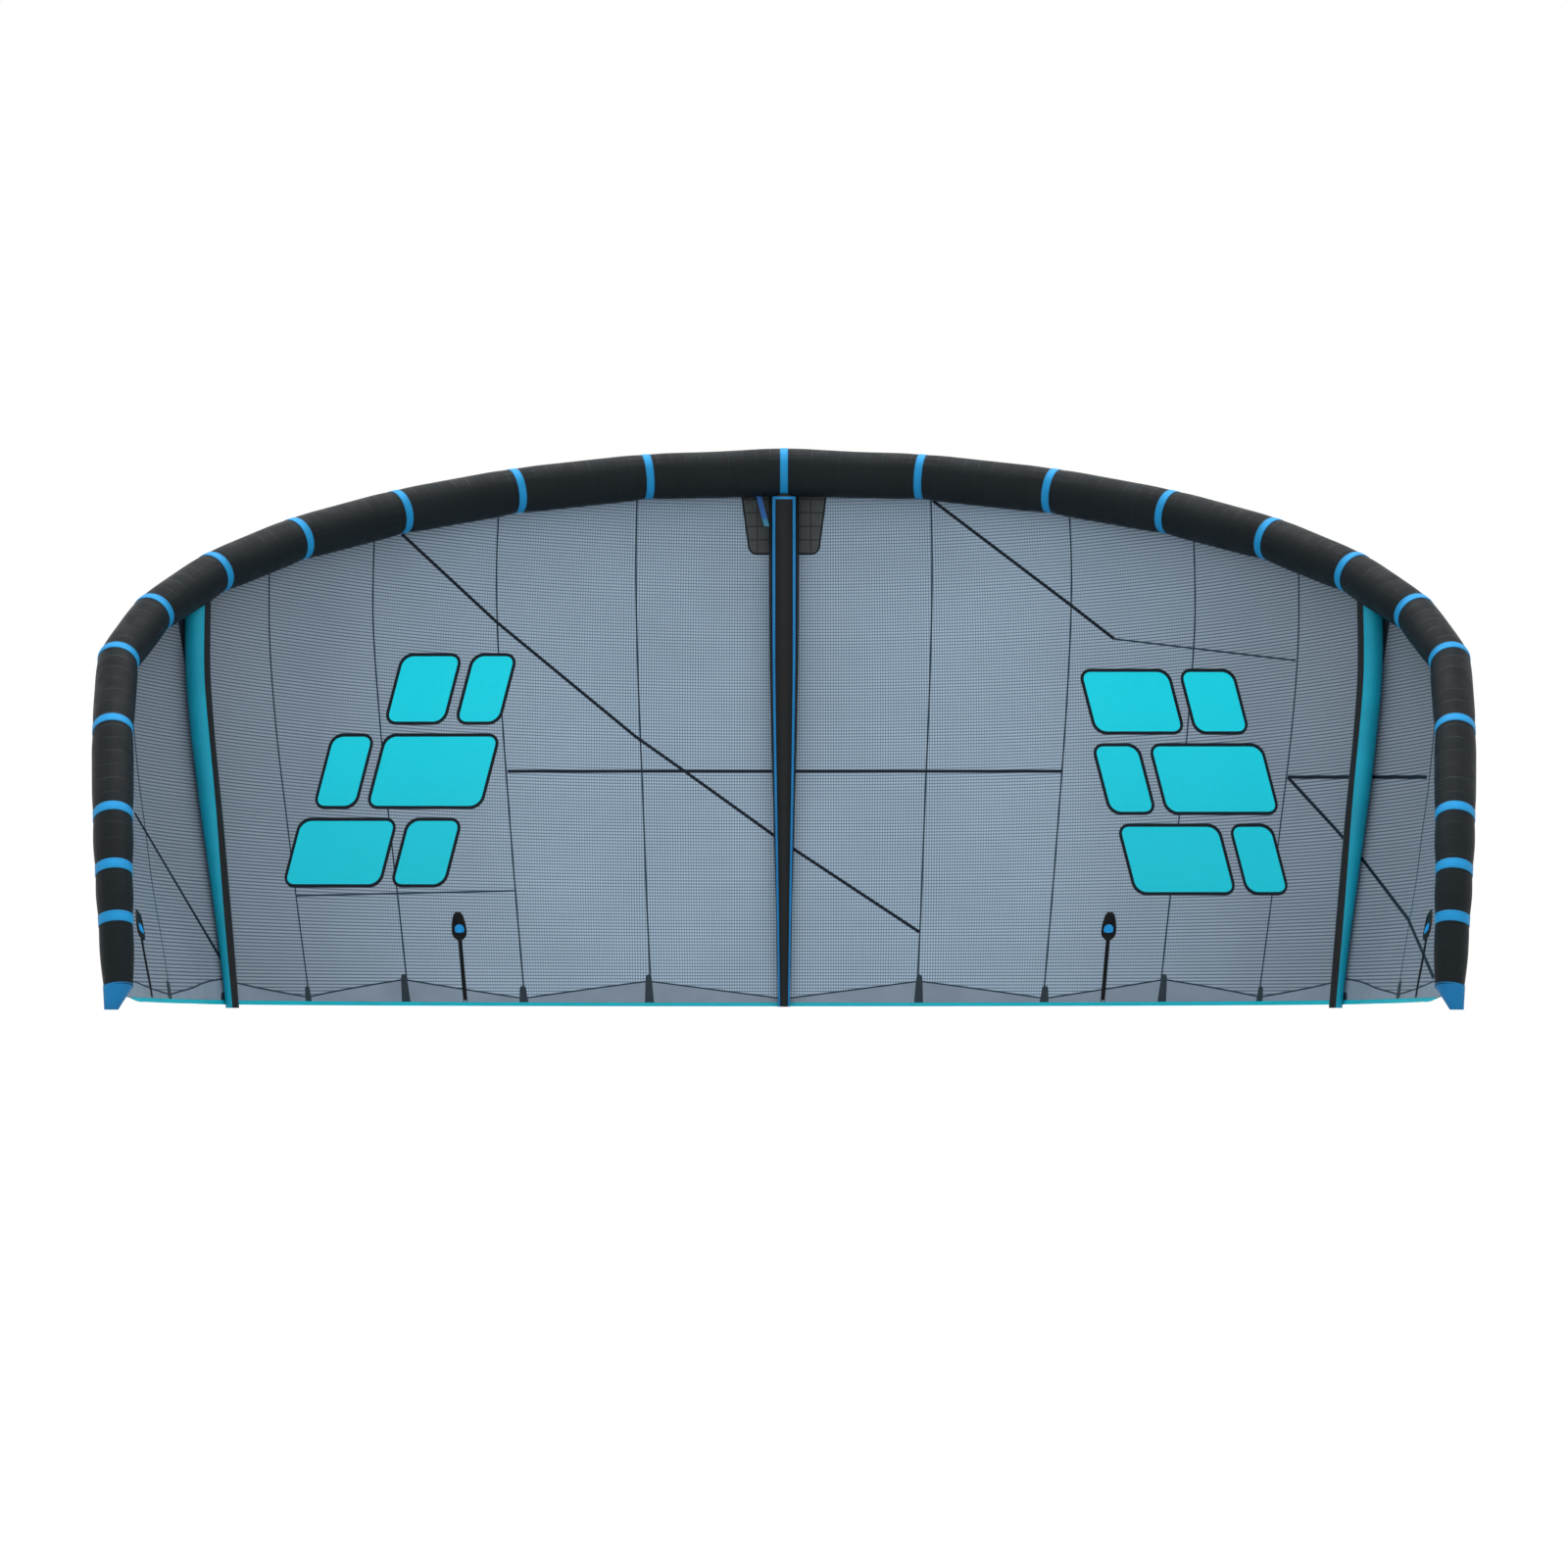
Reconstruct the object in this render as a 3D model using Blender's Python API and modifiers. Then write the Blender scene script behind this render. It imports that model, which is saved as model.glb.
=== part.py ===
# Inflatable kitesurfing kite with three struts, standing on its trailing edge.
# Metres, +Z up. The pilot is on the -Y side and the leading edge is on top. The origin
# is on the floor, under the middle of the whole kite.
# Stations count the sewn joints of the leading edge tube: 0 at the middle, 12 at
# a tip, and a fraction lies between two joints. A share runs from 0 to 1.
import bpy
import bmesh
from math import cos, pi, radians, sin, tan
from mathutils import Matrix, Vector

# Leading edge tube: its length from tip to tip, and shares from the middle to one tip
LEADING_EDGE_LENGTH = 7.590
CENTRE_DIAMETER = 0.150
TIP_DIAMETER = 0.072
LENGTH_SHARES = (93, 91, 85, 80, 71, 62, 55, 62, 63, 34, 28, 35)
ARC_DEGREES = (7, 19, 32, 44, 54, 64, 80, 103, 107, 109, 113, 117)
SWEEP_DEGREES = (3, 10, 15.5, 20, 25, 31, 37, 45, 51, 59, 67, 73)
TAPER_SHARES = (0, 0.04, 0.08, 0.16, 0.26, 0.36, 0.46, 0.54, 0.60, 0.66, 0.76, 0.85, 1)
TIP_COVER_HEIGHT = 0.055
TIP_FOOT_SHARE = 0.46
TUBE_SIDES = 16
BLADDER_SIDES = 8

# Cloths, films and the gaps between them
SLEEVE_WALL = 0.0006
BLADDER_WALL = 0.0005
BLADDER_GAP = 0.0005
BAND_WALL = 0.0006
BAND_WIDTH = 0.027
CANOPY_WALL = 0.0010
SEAT_GAP = 0.0003
LYING_GAP = 0.0006
CUT_OVERRUN = 0.010

# Canopy: its trailing edge in plan, as shares of the tube's half width and depth
EDGE_STATIONS = (0, 1, 2, 3, 4, 5.25, 7, 8.5, 10, 12)
EDGE_WIDTH_SHARES = (0, 0.240, 0.457, 0.647, 0.788, 0.882, 0.897, 0.902, 0.900, 0.894)
EDGE_DEPTH_SHARES = (0, 0.015, 0.076, 0.178, 0.306, 0.484, 0.620, 0.764, 0.866, 0.968)
CENTRE_EDGE_LIFT = 0.002
TIP_EDGE_LIFT = 0.020
BINDING_HEIGHT = 0.010
BINDING_WALL = 0.0030
RISE_STATIONS = (0, 3, 5.25, 8, 12)
FRONT_RISE_SHARES = (0.066, 0.066, 0.044, 0.026, 0.020)
BACK_RISE_SHARES = (0.044, 0.044, 0, 0, 0)
ATTACH_SIDE = 3
CHORD_ROWS = 8
SIDE_STRUT_STATION = 5.25
TIP_STATION = 12
PANEL_STATIONS = (0, 1, 2, 3, 4, SIDE_STRUT_STATION, TIP_STATION)
COLUMNS_PER_STATION = (3, 3, 3, 3, 3, 2)

# Struts
STRUT_ROOT_DIAMETER = 0.100
STRUT_END_DIAMETER = 0.039
SIDE_STRUT_ROOT_DIAMETER = 0.074
SIDE_STRUT_END_DIAMETER = 0.038
STRUT_SIDES = 10
STRUT_START_SHARE = 0.12
STRUT_BLADDER_START_SHARE = 0.75

# Reinforcement patch behind the root of the middle strut
PATCH_WALL = 0.0006
PATCH_HALF_WIDTH = 0.150
PATCH_LENGTH = 0.221
PATCH_START = 0.006
PATCH_NARROW_SHARE = 0.82
PATCH_STRAIGHT_SHARE = 0.85
PATCH_CORNER_SHARE = 0.25
PATCH_CORNER_STEPS = 4
PATCH_COLUMNS = 6

# Trailing edge battens with their pockets' moulded caps
BATTEN_STATION = 2.5
TIP_BATTEN_STATION = 9.55
TIP_BATTEN_LEAN = 3.4
BATTEN_LENGTH = 0.195
TIP_BATTEN_LENGTH = 0.175
BATTEN_WIDTH = 0.014
BATTEN_WALL = 0.0020
BATTEN_PLAY = 0.005
BATTEN_END_CLEARANCE = 0.002
CAP_LENGTH = 0.090
CAP_WIDTH = 0.050
CAP_WALL = 0.0035
CAP_COLUMNS = 4
BATTEN_COLUMNS = 2
CAP_OUTLINE_SHARES = ((0, 0.30), (0.12, 0.52), (0.3, 0.72), (0.5, 0.92), (0.66, 1.0),
                      (0.8, 0.94), (0.92, 0.70), (1, 0.36))

# Inflation valve, under the canopy beside the middle strut
VALVE_OFFSET = 0.110
VALVE_SIDE = 1
VALVE_BORE = 0.028
VALVE_NECK_DIAMETER = 0.038
VALVE_RIM_DIAMETER = 0.044
VALVE_RIM_HEIGHT = 0.003
VALVE_STAND = 0.008
VALVE_SINK = 0.010
PLUG_DISC_HEIGHT = 0.004
PLUG_DEPTH = 0.010
AIR_HOLE_DIAMETER = 0.014
GRIP_LENGTH = 0.008
GRIP_WIDTH = 0.004
GRIP_HEIGHT = 0.003
STOPPER_DIAMETER = 0.022
STOPPER_WALL = 0.0025
STOPPER_STEM_LENGTH = 0.003
STOPPER_STEM_DIAMETER = 0.010
STOPPER_HINGE_OFFSET = 0.014
STOPPER_HINGE_DIAMETER = 0.0024
STOPPER_HINGE_LENGTH = 0.007
TURNED_SIDES = 18
MERGE_DISTANCE = 0.00001

# Webbing tab that hangs from the leading edge beside the middle strut
TAB_OFFSET = 0.087
TAB_LENGTH = 0.100
TAB_WIDTH = 0.018
TAB_WALL = 0.0022
TAB_KNOB_DIAMETER = 0.010
TAB_LEAN_DEGREES = 12
TAB_ROLL_SHARE = 1.4

# Colours are linear red, green and blue
CHARCOAL = (0.020, 0.023, 0.026)
BAND_BLUE = (0.028, 0.30, 0.75)
TEAL = (0.010, 0.26, 0.36)
CLOTH_GREY = (0.20, 0.27, 0.34)
PATCH_GREY = (0.045, 0.055, 0.060)
NEAR_BLACK = (0.008, 0.010, 0.012)
FILM = (0.55, 0.60, 0.62)
EDGE_CYAN = (0.010, 0.40, 0.48)


def new_collection(name):
    collection = bpy.data.collections.new(name)
    bpy.context.scene.collection.children.link(collection)
    return collection


def add_object(name, mesh, collection):
    shape = bpy.data.objects.new(name, mesh)
    collection.objects.link(shape)
    return shape


def paint(shape, colour, roughness, metallic=0.0):
    material = bpy.data.materials.new(shape.name + "_finish")
    material.use_nodes = True
    shader = material.node_tree.nodes["Principled BSDF"]
    shader.inputs["Base Color"].default_value = (*colour, 1.0)
    shader.inputs["Roughness"].default_value = roughness
    shader.inputs["Metallic"].default_value = metallic
    shape.data.materials.append(material)
    return shape


def frame_matrix(spot, x_axis, z_axis):
    matrix = Matrix((x_axis, z_axis.cross(x_axis), z_axis)).transposed().to_4x4()
    matrix.translation = spot
    return matrix


def move_origin(shape, matrix):
    # Puts the origin on a joint's axis and leaves the shape where it is
    shape.data.transform(matrix.inverted())
    shape.matrix_world = matrix
    return shape


def mesh_from(name, points, faces, side=1):
    # side -1 gives the mirror image on -X, with its faces turned to match
    if side < 0:
        points = [Vector((-p.x, p.y, p.z)) for p in points]
        faces = [tuple(reversed(face)) for face in faces]
    mesh = bpy.data.meshes.new(name)
    mesh.from_pydata([tuple(p) for p in points], [], faces)
    mesh.update()
    mesh.shade_smooth()
    mesh.set_sharp_from_angle(angle=radians(35))
    return mesh


# Smooth line through a short table of values
def through(places, values, at):
    last = len(places) - 1
    i = max(k for k in range(last) if places[k] <= at or k == 0)
    span = places[i + 1] - places[i]
    t = (at - places[i]) / span

    def slope(k):
        if k == 0 or k == last:
            near = 1 if k == 0 else last
            return (values[near] - values[near - 1]) / (places[near] - places[near - 1])
        return (values[k + 1] - values[k - 1]) / (places[k + 1] - places[k - 1])

    a, b = slope(i) * span, slope(i + 1) * span
    return ((2 * t**3 - 3 * t**2 + 1) * values[i] + (t**3 - 2 * t**2 + t) * a
            + (3 * t**2 - 2 * t**3) * values[i + 1] + (t**3 - t**2) * b)


def axis_directions():
    directions = []
    for arc, sweep in zip(ARC_DEGREES, SWEEP_DEGREES):
        arc, sweep = radians(arc), radians(sweep)
        directions.append(Vector((cos(arc) * cos(sweep), -sin(arc) * cos(sweep), -sin(sweep))))
    return directions


def axis_joints():
    joints = [Vector((0, 0, 0))]
    unit = LEADING_EDGE_LENGTH / 2 / sum(LENGTH_SHARES)
    for share, direction in zip(LENGTH_SHARES, axis_directions()):
        joints.append(joints[-1] + direction * unit * share)
    lift = Vector((0, 0, TIP_COVER_HEIGHT - joints[-1].z))
    return [joint + lift for joint in joints]


JOINTS = axis_joints()
DIRECTIONS = axis_directions()
HALF_WIDTH = max(joint.x for joint in JOINTS)
DEPTH = -JOINTS[-1].y
RADII = [(CENTRE_DIAMETER + (TIP_DIAMETER - CENTRE_DIAMETER) * share) / 2
         for share in TAPER_SHARES]


def edge_point(station):
    # The canopy's trailing edge, just above its binding
    width = through(EDGE_STATIONS, EDGE_WIDTH_SHARES, station)
    depth = through(EDGE_STATIONS, EDGE_DEPTH_SHARES, station)
    lift = CENTRE_EDGE_LIFT + (TIP_EDGE_LIFT - CENTRE_EDGE_LIFT) * depth
    return Vector((HALF_WIDTH * width, -DEPTH * depth, lift + BINDING_HEIGHT + SEAT_GAP))


def joint_frame(k):
    # Tangent of the tube, the way to the trailing edge, and the way to the outside
    if k == 0:
        tangent = Vector((1, 0, 0))
    elif k == TIP_STATION:
        tangent = DIRECTIONS[-1]
    else:
        tangent = (DIRECTIONS[k - 1] + DIRECTIONS[k]).normalized()
    back = edge_point(k) - JOINTS[k]
    back = (back - tangent * back.dot(tangent)).normalized()
    return tangent, back, tangent.cross(back)


FRAMES = [joint_frame(k) for k in range(TIP_STATION + 1)]


def on_joint(k, turn, grow):
    tangent, back, out = FRAMES[k]
    return JOINTS[k] + (back * cos(turn) + out * sin(turn)) * (RADII[k] + grow)


def on_tube(station, side_index, grow=0.0):
    # A point of the tube's skin. Negative stations are on -X.
    if station < 0:
        point = on_tube(-station, side_index, grow)
        return Vector((-point.x, point.y, point.z))
    k = min(int(station), TIP_STATION - 1)
    turn = 2 * pi * side_index / TUBE_SIDES
    return on_joint(k, turn, grow).lerp(on_joint(k + 1, turn, grow), station - k)


def tube_ring(station, grow=0.0, sides=TUBE_SIDES):
    return [on_tube(station, i, grow) for i in range(0, TUBE_SIDES, TUBE_SIDES // sides)]


def station_step(length, station):
    # How many stations a length takes along the tube
    k = min(int(station), TIP_STATION - 1)
    return length / (JOINTS[k + 1] - JOINTS[k]).length


def cloth_point(station, share):
    # Pilot side of the canopy, from the tube at share 0 to the trailing edge at 1
    start = on_tube(station, ATTACH_SIDE, SEAT_GAP + BAND_WALL + SEAT_GAP)
    end = edge_point(station)
    chord = end - start
    k = min(int(station), TIP_STATION - 1)
    out = FRAMES[k][2].lerp(FRAMES[k + 1][2], station - k)
    out = (out - chord * out.dot(chord) / chord.length_squared).normalized()
    rise = through(RISE_STATIONS, FRONT_RISE_SHARES, station)
    front = start + chord / 3 + out * chord.length * rise
    rise = through(RISE_STATIONS, BACK_RISE_SHARES, station)
    rear = end - chord / 3 + out * chord.length * rise
    rest = 1 - share
    return (start * rest**3 + front * 3 * rest**2 * share
            + rear * 3 * rest * share**2 + end * share**3)


def grid_stations():
    # The panels' edges, every joint of the tube, and even steps between joints
    stations = {0.0}
    for first, last, columns in zip(PANEL_STATIONS, PANEL_STATIONS[1:], COLUMNS_PER_STATION):
        steps = range(int(first * columns) + 1, int(last * columns) + 1)
        stations |= {step / columns for step in steps} | {float(last)}
    return sorted(stations)


STATION_STEP = 0.05
SHARE_STEP = 0.02
FOLD_CLEARANCE = 0.004
FINE_STEP = 0.0001
GRID_STATIONS = grid_stations()
GRID_SHARES = [row / CHORD_ROWS for row in range(CHORD_ROWS + 1)]
GRID = [[cloth_point(station, share) for share in GRID_SHARES] for station in GRID_STATIONS]


def on_grid(station, share):
    # A point on the canopy's flat facets, so that what lies on them stays clear
    if station < 0:
        point = on_grid(-station, share)
        return Vector((-point.x, point.y, point.z))
    c = max(i for i, place in enumerate(GRID_STATIONS[:-1]) if place <= station)
    across = (station - GRID_STATIONS[c]) / (GRID_STATIONS[c + 1] - GRID_STATIONS[c])
    r = min(int(share * CHORD_ROWS), CHORD_ROWS - 1)
    along = share * CHORD_ROWS - r
    near = GRID[c][r].lerp(GRID[c + 1][r], across)
    far = GRID[c][r + 1].lerp(GRID[c + 1][r + 1], across)
    return near.lerp(far, along)


def cloth_frame(station, share):
    # Across the canopy, along it to the trailing edge, and out of its convex side
    low, high = max(share - SHARE_STEP, 0), min(share + SHARE_STEP, 1)
    before = on_grid(station - STATION_STEP, share)
    after = on_grid(min(station + STATION_STEP, TIP_STATION), share)
    along = (on_grid(station, high) - on_grid(station, low)).normalized()
    across = (after - before).normalized()
    out = across.cross(along).normalized()
    return along.cross(out), along, out


def add_quads(faces, first, second, flip):
    count = len(first)
    for i in range(count):
        j = (i + 1) % count
        face = (first[i], first[j], second[j], second[i])
        faces.append(tuple(reversed(face)) if flip else face)


def add_band(faces, points, first, second, flip):
    # Two triangles a facet, folded outwards, so that nested tubes stay clear of each other
    corners = first + second
    middle = sum((points[c] for c in corners), Vector()) / len(corners)
    count = len(first)
    for i in range(count):
        j = (i + 1) % count
        a, b, c, d = first[i], first[j], second[j], second[i]
        rising = ((points[a] + points[c]) / 2 - middle).length
        falling = ((points[b] + points[d]) / 2 - middle).length
        pair = [(a, b, c), (a, c, d)] if rising > falling else [(a, b, d), (b, c, d)]
        faces += [tuple(reversed(face)) if flip else face for face in pair]


def indexed(rings):
    points, indices = [], []
    for ring in rings:
        indices.append(list(range(len(points), len(points) + len(ring))))
        points += ring
    return points, indices


def tube_mesh(name, outer, inner, shut_start, shut_end, side=1):
    # A tube with a wall, from rings of points. A shut end has a bottom like a cup's.
    points, indices = indexed(outer + inner)
    skins, linings = indices[:len(outer)], indices[len(outer):]
    faces = []
    for first, second in zip(skins, skins[1:]):
        add_band(faces, points, first, second, False)
    for first, second in zip(linings, linings[1:]):
        add_band(faces, points, first, second, True)
    if shut_start:
        faces += [tuple(reversed(skins[0])), tuple(linings[0])]
    else:
        add_quads(faces, skins[0], linings[0], True)
    if shut_end:
        faces += [tuple(skins[-1]), tuple(reversed(linings[-1]))]
    else:
        add_quads(faces, skins[-1], linings[-1], False)
    return mesh_from(name, points, faces, side)


def solid_loft(name, rings, side=1):
    points, indices = indexed(rings)
    faces = [tuple(reversed(indices[0])), tuple(indices[-1])]
    for first, second in zip(indices, indices[1:]):
        add_band(faces, points, first, second, False)
    return mesh_from(name, points, faces, side)


def cut(shape, cutter):
    boolean = shape.modifiers.new("cut", "BOOLEAN")
    boolean.operation = "DIFFERENCE"
    boolean.solver = "EXACT"
    boolean.object = cutter


def hide_cutter(shape):
    shape.hide_render = True
    shape.display_type = "WIRE"
    return shape


def solidify(shape, wall, offset):
    shell = shape.modifiers.new("wall", "SOLIDIFY")
    shell.thickness = wall
    shell.offset = offset
    shell.use_even_offset = True
    return shape


# Leading edge: two sleeve halves, one bladder, the seam bands and the tip covers
def side_name(side):
    return "right" if side > 0 else "left"


def leading_edge_sleeve(side, parts):
    start = station_step(SEAT_GAP / 2, 0)
    stations = [start] + list(range(1, TIP_STATION + 1))
    outer = [tube_ring(s) for s in stations]
    inner = [tube_ring(s, -SLEEVE_WALL) for s in stations]
    name = "leading_edge_sleeve_" + side_name(side)
    return paint(add_object(name, tube_mesh(name, outer, inner, False, False, side), parts),
                 CHARCOAL, 0.55)


def leading_edge_bladder(parts):
    end = TIP_STATION - station_step(BLADDER_GAP, TIP_STATION)
    stations = [-end] + list(range(1 - TIP_STATION, TIP_STATION)) + [end]
    skin = -SLEEVE_WALL - BLADDER_GAP
    outer = [tube_ring(s, skin, BLADDER_SIDES) for s in stations]
    inset = station_step(BLADDER_WALL, TIP_STATION)
    inner_stations = [inset - end] + stations[1:-1] + [end - inset]
    inner = [tube_ring(s, skin - BLADDER_WALL, BLADDER_SIDES) for s in inner_stations]
    name = "leading_edge_bladder"
    return paint(add_object(name, tube_mesh(name, outer, inner, True, True), parts), FILM, 0.35)


def seam_band(joint, side, parts):
    # A tape wrapped round one sewn joint, bent with the tube
    before = joint - station_step(BAND_WIDTH / 2, joint - 1) if joint else None
    after = joint + station_step(BAND_WIDTH / 2, joint)
    stations = [before if joint else -after, joint, after]
    inner = [tube_ring(s, SEAT_GAP) for s in stations]
    outer = [tube_ring(s, SEAT_GAP + BAND_WALL) for s in stations]
    name = f"seam_band_{side_name(side)}_{joint:02d}" if joint else "seam_band_centre"
    return paint(add_object(name, tube_mesh(name, outer, inner, False, False, side), parts),
                 BAND_BLUE, 0.45)


def onto_level(ring, direction, level):
    return [p + direction * ((level - p.z) / direction.z) for p in ring]


def foot_ring(ring, share):
    # Drawn in towards the outer side, where the tube's end stands on the floor
    outer_x = max(p.x for p in ring)
    middle_y = sum(p.y for p in ring) / len(ring)
    return [Vector((outer_x + (p.x - outer_x) * share, middle_y + (p.y - middle_y) * share, p.z))
            for p in ring]


def tip_cover(side, parts):
    tangent = FRAMES[TIP_STATION][0]
    top = [p + tangent * SEAT_GAP for p in tube_ring(TIP_STATION)]
    lining = [p + tangent * SEAT_GAP for p in tube_ring(TIP_STATION, -SLEEVE_WALL)]
    foot = foot_ring(onto_level(top, tangent, 0), TIP_FOOT_SHARE)
    sole = foot_ring(onto_level(lining, tangent, SLEEVE_WALL), TIP_FOOT_SHARE)
    name = "tip_cover_" + side_name(side)
    mesh = tube_mesh(name, [top, foot], [lining, sole], False, True, side)
    return paint(add_object(name, mesh, parts), BAND_BLUE, 0.5)


# Struts: a sleeve and a bladder each, following the canopy's curve
def strut_section(station, row, radius, seat, shrink):
    spot = GRID_SHARES[row]
    across, along, out = cloth_frame(station, spot)
    centre = on_grid(station, spot) - out * (radius + seat)
    turns = [2 * pi * i / STRUT_SIDES for i in range(STRUT_SIDES)]
    return [centre + (out * cos(a) + across * sin(a)) * (radius - shrink) for a in turns], along


def strut_rings(station, root, end, seat, shrink, start_share, floor):
    # Rings on the canopy's rows, the first of them part of the way to the second row
    rings, along = [], None
    for row in range(CHORD_ROWS + 1):
        radius = (root + (end - root) * GRID_SHARES[row]) / 2
        ring, along = strut_section(station, row, radius, seat, shrink)
        rings.append(ring)
    rings[0] = [a.lerp(b, start_share) for a, b in zip(rings[0], rings[1])]
    return rings + [onto_level(rings[-1], along, floor)]


def strut_pair(label, station, root, end, seat, cutter, side, parts):
    size = (station, root, end, seat)
    outer = strut_rings(*size, 0.0, STRUT_START_SHARE, 0.0)
    inner = strut_rings(*size, SLEEVE_WALL, STRUT_START_SHARE, SLEEVE_WALL)
    name = "strut_sleeve_" + label
    sleeve = add_object(name, tube_mesh(name, outer, inner, False, True, side), parts)
    cut(sleeve, cutter)
    shrink = SLEEVE_WALL + SEAT_GAP
    outer = strut_rings(*size, shrink, STRUT_BLADDER_START_SHARE, shrink)
    shrink += BLADDER_WALL
    inner = strut_rings(*size, shrink, STRUT_BLADDER_START_SHARE, shrink)
    name = "strut_bladder_" + label
    bladder = add_object(name, tube_mesh(name, outer, inner, False, True, side), parts)
    return paint(sleeve, TEAL if station else CHARCOAL, 0.5), paint(bladder, FILM, 0.35)


def tube_cutter(first, last, grow, side, cutters):
    stations = [first, last] if first >= 0 else [first, 0, last]
    mesh = solid_loft("tube_cutter", [tube_ring(s, grow) for s in stations], side)
    return hide_cutter(add_object(mesh.name, mesh, cutters))


# Canopy panels, and the sheets and strips that lie on them
def sheet_mesh(name, rows, side):
    # Rows run from the leading edge back, and the faces point to the convex side
    points = [p for row in rows for p in row]
    width = len(rows[0])
    faces = []
    for r in range(len(rows) - 1):
        for c in range(width - 1):
            a = r * width + c
            faces.append((a, a + 1, a + width + 1, a + width))
    return mesh_from(name, points, faces, side)


def canopy_panel(index, side, parts):
    first, last = PANEL_STATIONS[index], PANEL_STATIONS[index + 1]
    inset = station_step(SEAT_GAP / 2, first)
    places = [s for s in GRID_STATIONS if first <= s <= last]
    places[0] += inset
    if last < TIP_STATION:
        places[-1] -= inset
    rows = [[on_grid(station, share) for station in places] for share in GRID_SHARES]
    label = "tip" if last == TIP_STATION else str(index + 1)
    name = f"canopy_{side_name(side)}_{label}"
    shape = add_object(name, sheet_mesh(name, rows, side), parts)
    return paint(solidify(shape, CANOPY_WALL, 1), CLOTH_GREY, 0.6)


def trailing_edge_binding(parts):
    # One tape from tip to tip, in line with the cloth's lower edge
    rings = []
    for station in GRID_STATIONS:
        along, out = cloth_frame(station, 1)[1:]
        top = on_grid(station, 1) + along * SEAT_GAP
        low = top + along * BINDING_HEIGHT
        rings.append([top, low, low + out * BINDING_WALL, top + out * BINDING_WALL])
    mirrored = [[Vector((-p.x, p.y, p.z)) for p in ring] for ring in reversed(rings[1:])]
    name = "trailing_edge_binding"
    shape = add_object(name, solid_loft(name, mirrored + rings), parts)
    return paint(shape, EDGE_CYAN, 0.5)


def leant(station, share, lean):
    # Where a line crosses a share, if it reaches the trailing edge at a station and
    # leans so many stations on its way over the whole chord
    return station - lean * (1 - share)


def square_step(station, share, lean):
    # Steps in station and share that make one metre at right angles to the line
    before, after = on_grid(station, share - SHARE_STEP), on_grid(station, share)
    beside = (on_grid(station + STATION_STEP, share) - after) / STATION_STEP
    below = (after - before) / SHARE_STEP
    line = below + beside * lean
    back = -beside.dot(line) / below.dot(line)
    length = (beside + below * back).length
    return 1 / length, back / length


def lying_sheet(name, station, stops, columns, wall, side, parts, lean=0):
    # A sheet on the pilot's side of the cloth; stops are (share, half width)
    rows = []
    for share, half_width in stops:
        middle = leant(station, share, lean)
        out = cloth_frame(middle, share)[2]
        over, down = square_step(middle, share, lean) if lean else (0, 0)
        if not lean:
            beside = on_grid(station + STATION_STEP, share) - on_grid(station, share)
            over = STATION_STEP / beside.length
        row = []
        for c in range(columns + 1):
            reach = half_width * (2 * c / columns - 1)
            spot = on_grid(middle + reach * over, share + reach * down)
            row.append(spot - out * LYING_GAP)
        rows.append(row)
    shape = add_object(name, sheet_mesh(name, rows, side), parts)
    return solidify(shape, wall, -1)


def with_rows(stops, station=0, lean=0):
    # Adds the canopy's own rows to the stops, and the columns that a leaning line
    # crosses, so that the sheet folds where the canopy does
    folds = list(GRID_SHARES)
    if lean:
        folds += [1 - (station - place) / lean for place in GRID_STATIONS]
    out = []
    for (share, width), (next_share, next_width) in zip(stops, stops[1:]):
        out.append((share, width))
        for row in sorted(folds):
            if share + FOLD_CLEARANCE < row < next_share - FOLD_CLEARANCE:
                t = (row - share) / (next_share - share)
                out.append((row, width + (next_width - width) * t))
    return out + [stops[-1]]


def chord_length(station):
    return (on_grid(station, 1) - on_grid(station, 0)).length


def centre_patch(parts):
    length = PATCH_LENGTH / chord_length(0)
    start = PATCH_START / chord_length(0)
    low = PATCH_HALF_WIDTH * PATCH_NARROW_SHARE
    stops = [(start, PATCH_HALF_WIDTH)]
    for k in range(PATCH_CORNER_STEPS + 1):
        # The lower corners are quarter turns
        turn = pi / 2 * k / PATCH_CORNER_STEPS
        drop = PATCH_STRAIGHT_SHARE + (1 - PATCH_STRAIGHT_SHARE) * sin(turn)
        stops.append((start + length * drop, low * (1 - PATCH_CORNER_SHARE * (1 - cos(turn)))))
    name = "centre_patch"
    sheet = lying_sheet(name, 0, with_rows(stops), PATCH_COLUMNS, PATCH_WALL, 1, parts)
    return paint(sheet, PATCH_GREY, 0.6)


def share_before(station, share, length, lean):
    # The share of the point that lies a length before another one on a leaning line
    spot = on_grid(leant(station, share, lean), share)
    while (on_grid(leant(station, share, lean), share) - spot).length < length:
        share -= FINE_STEP
    return share


def batten_stops(station, length, lean):
    corner = abs(square_step(station, 1, lean)[1]) * BATTEN_WIDTH / 2 if lean else 0
    low = share_before(station, 1 - corner, BATTEN_PLAY + BATTEN_END_CLEARANCE, lean)
    high = share_before(station, low, length, lean)
    half = BATTEN_WIDTH / 2
    return with_rows([(high, half), (low, half)], station, lean)


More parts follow.
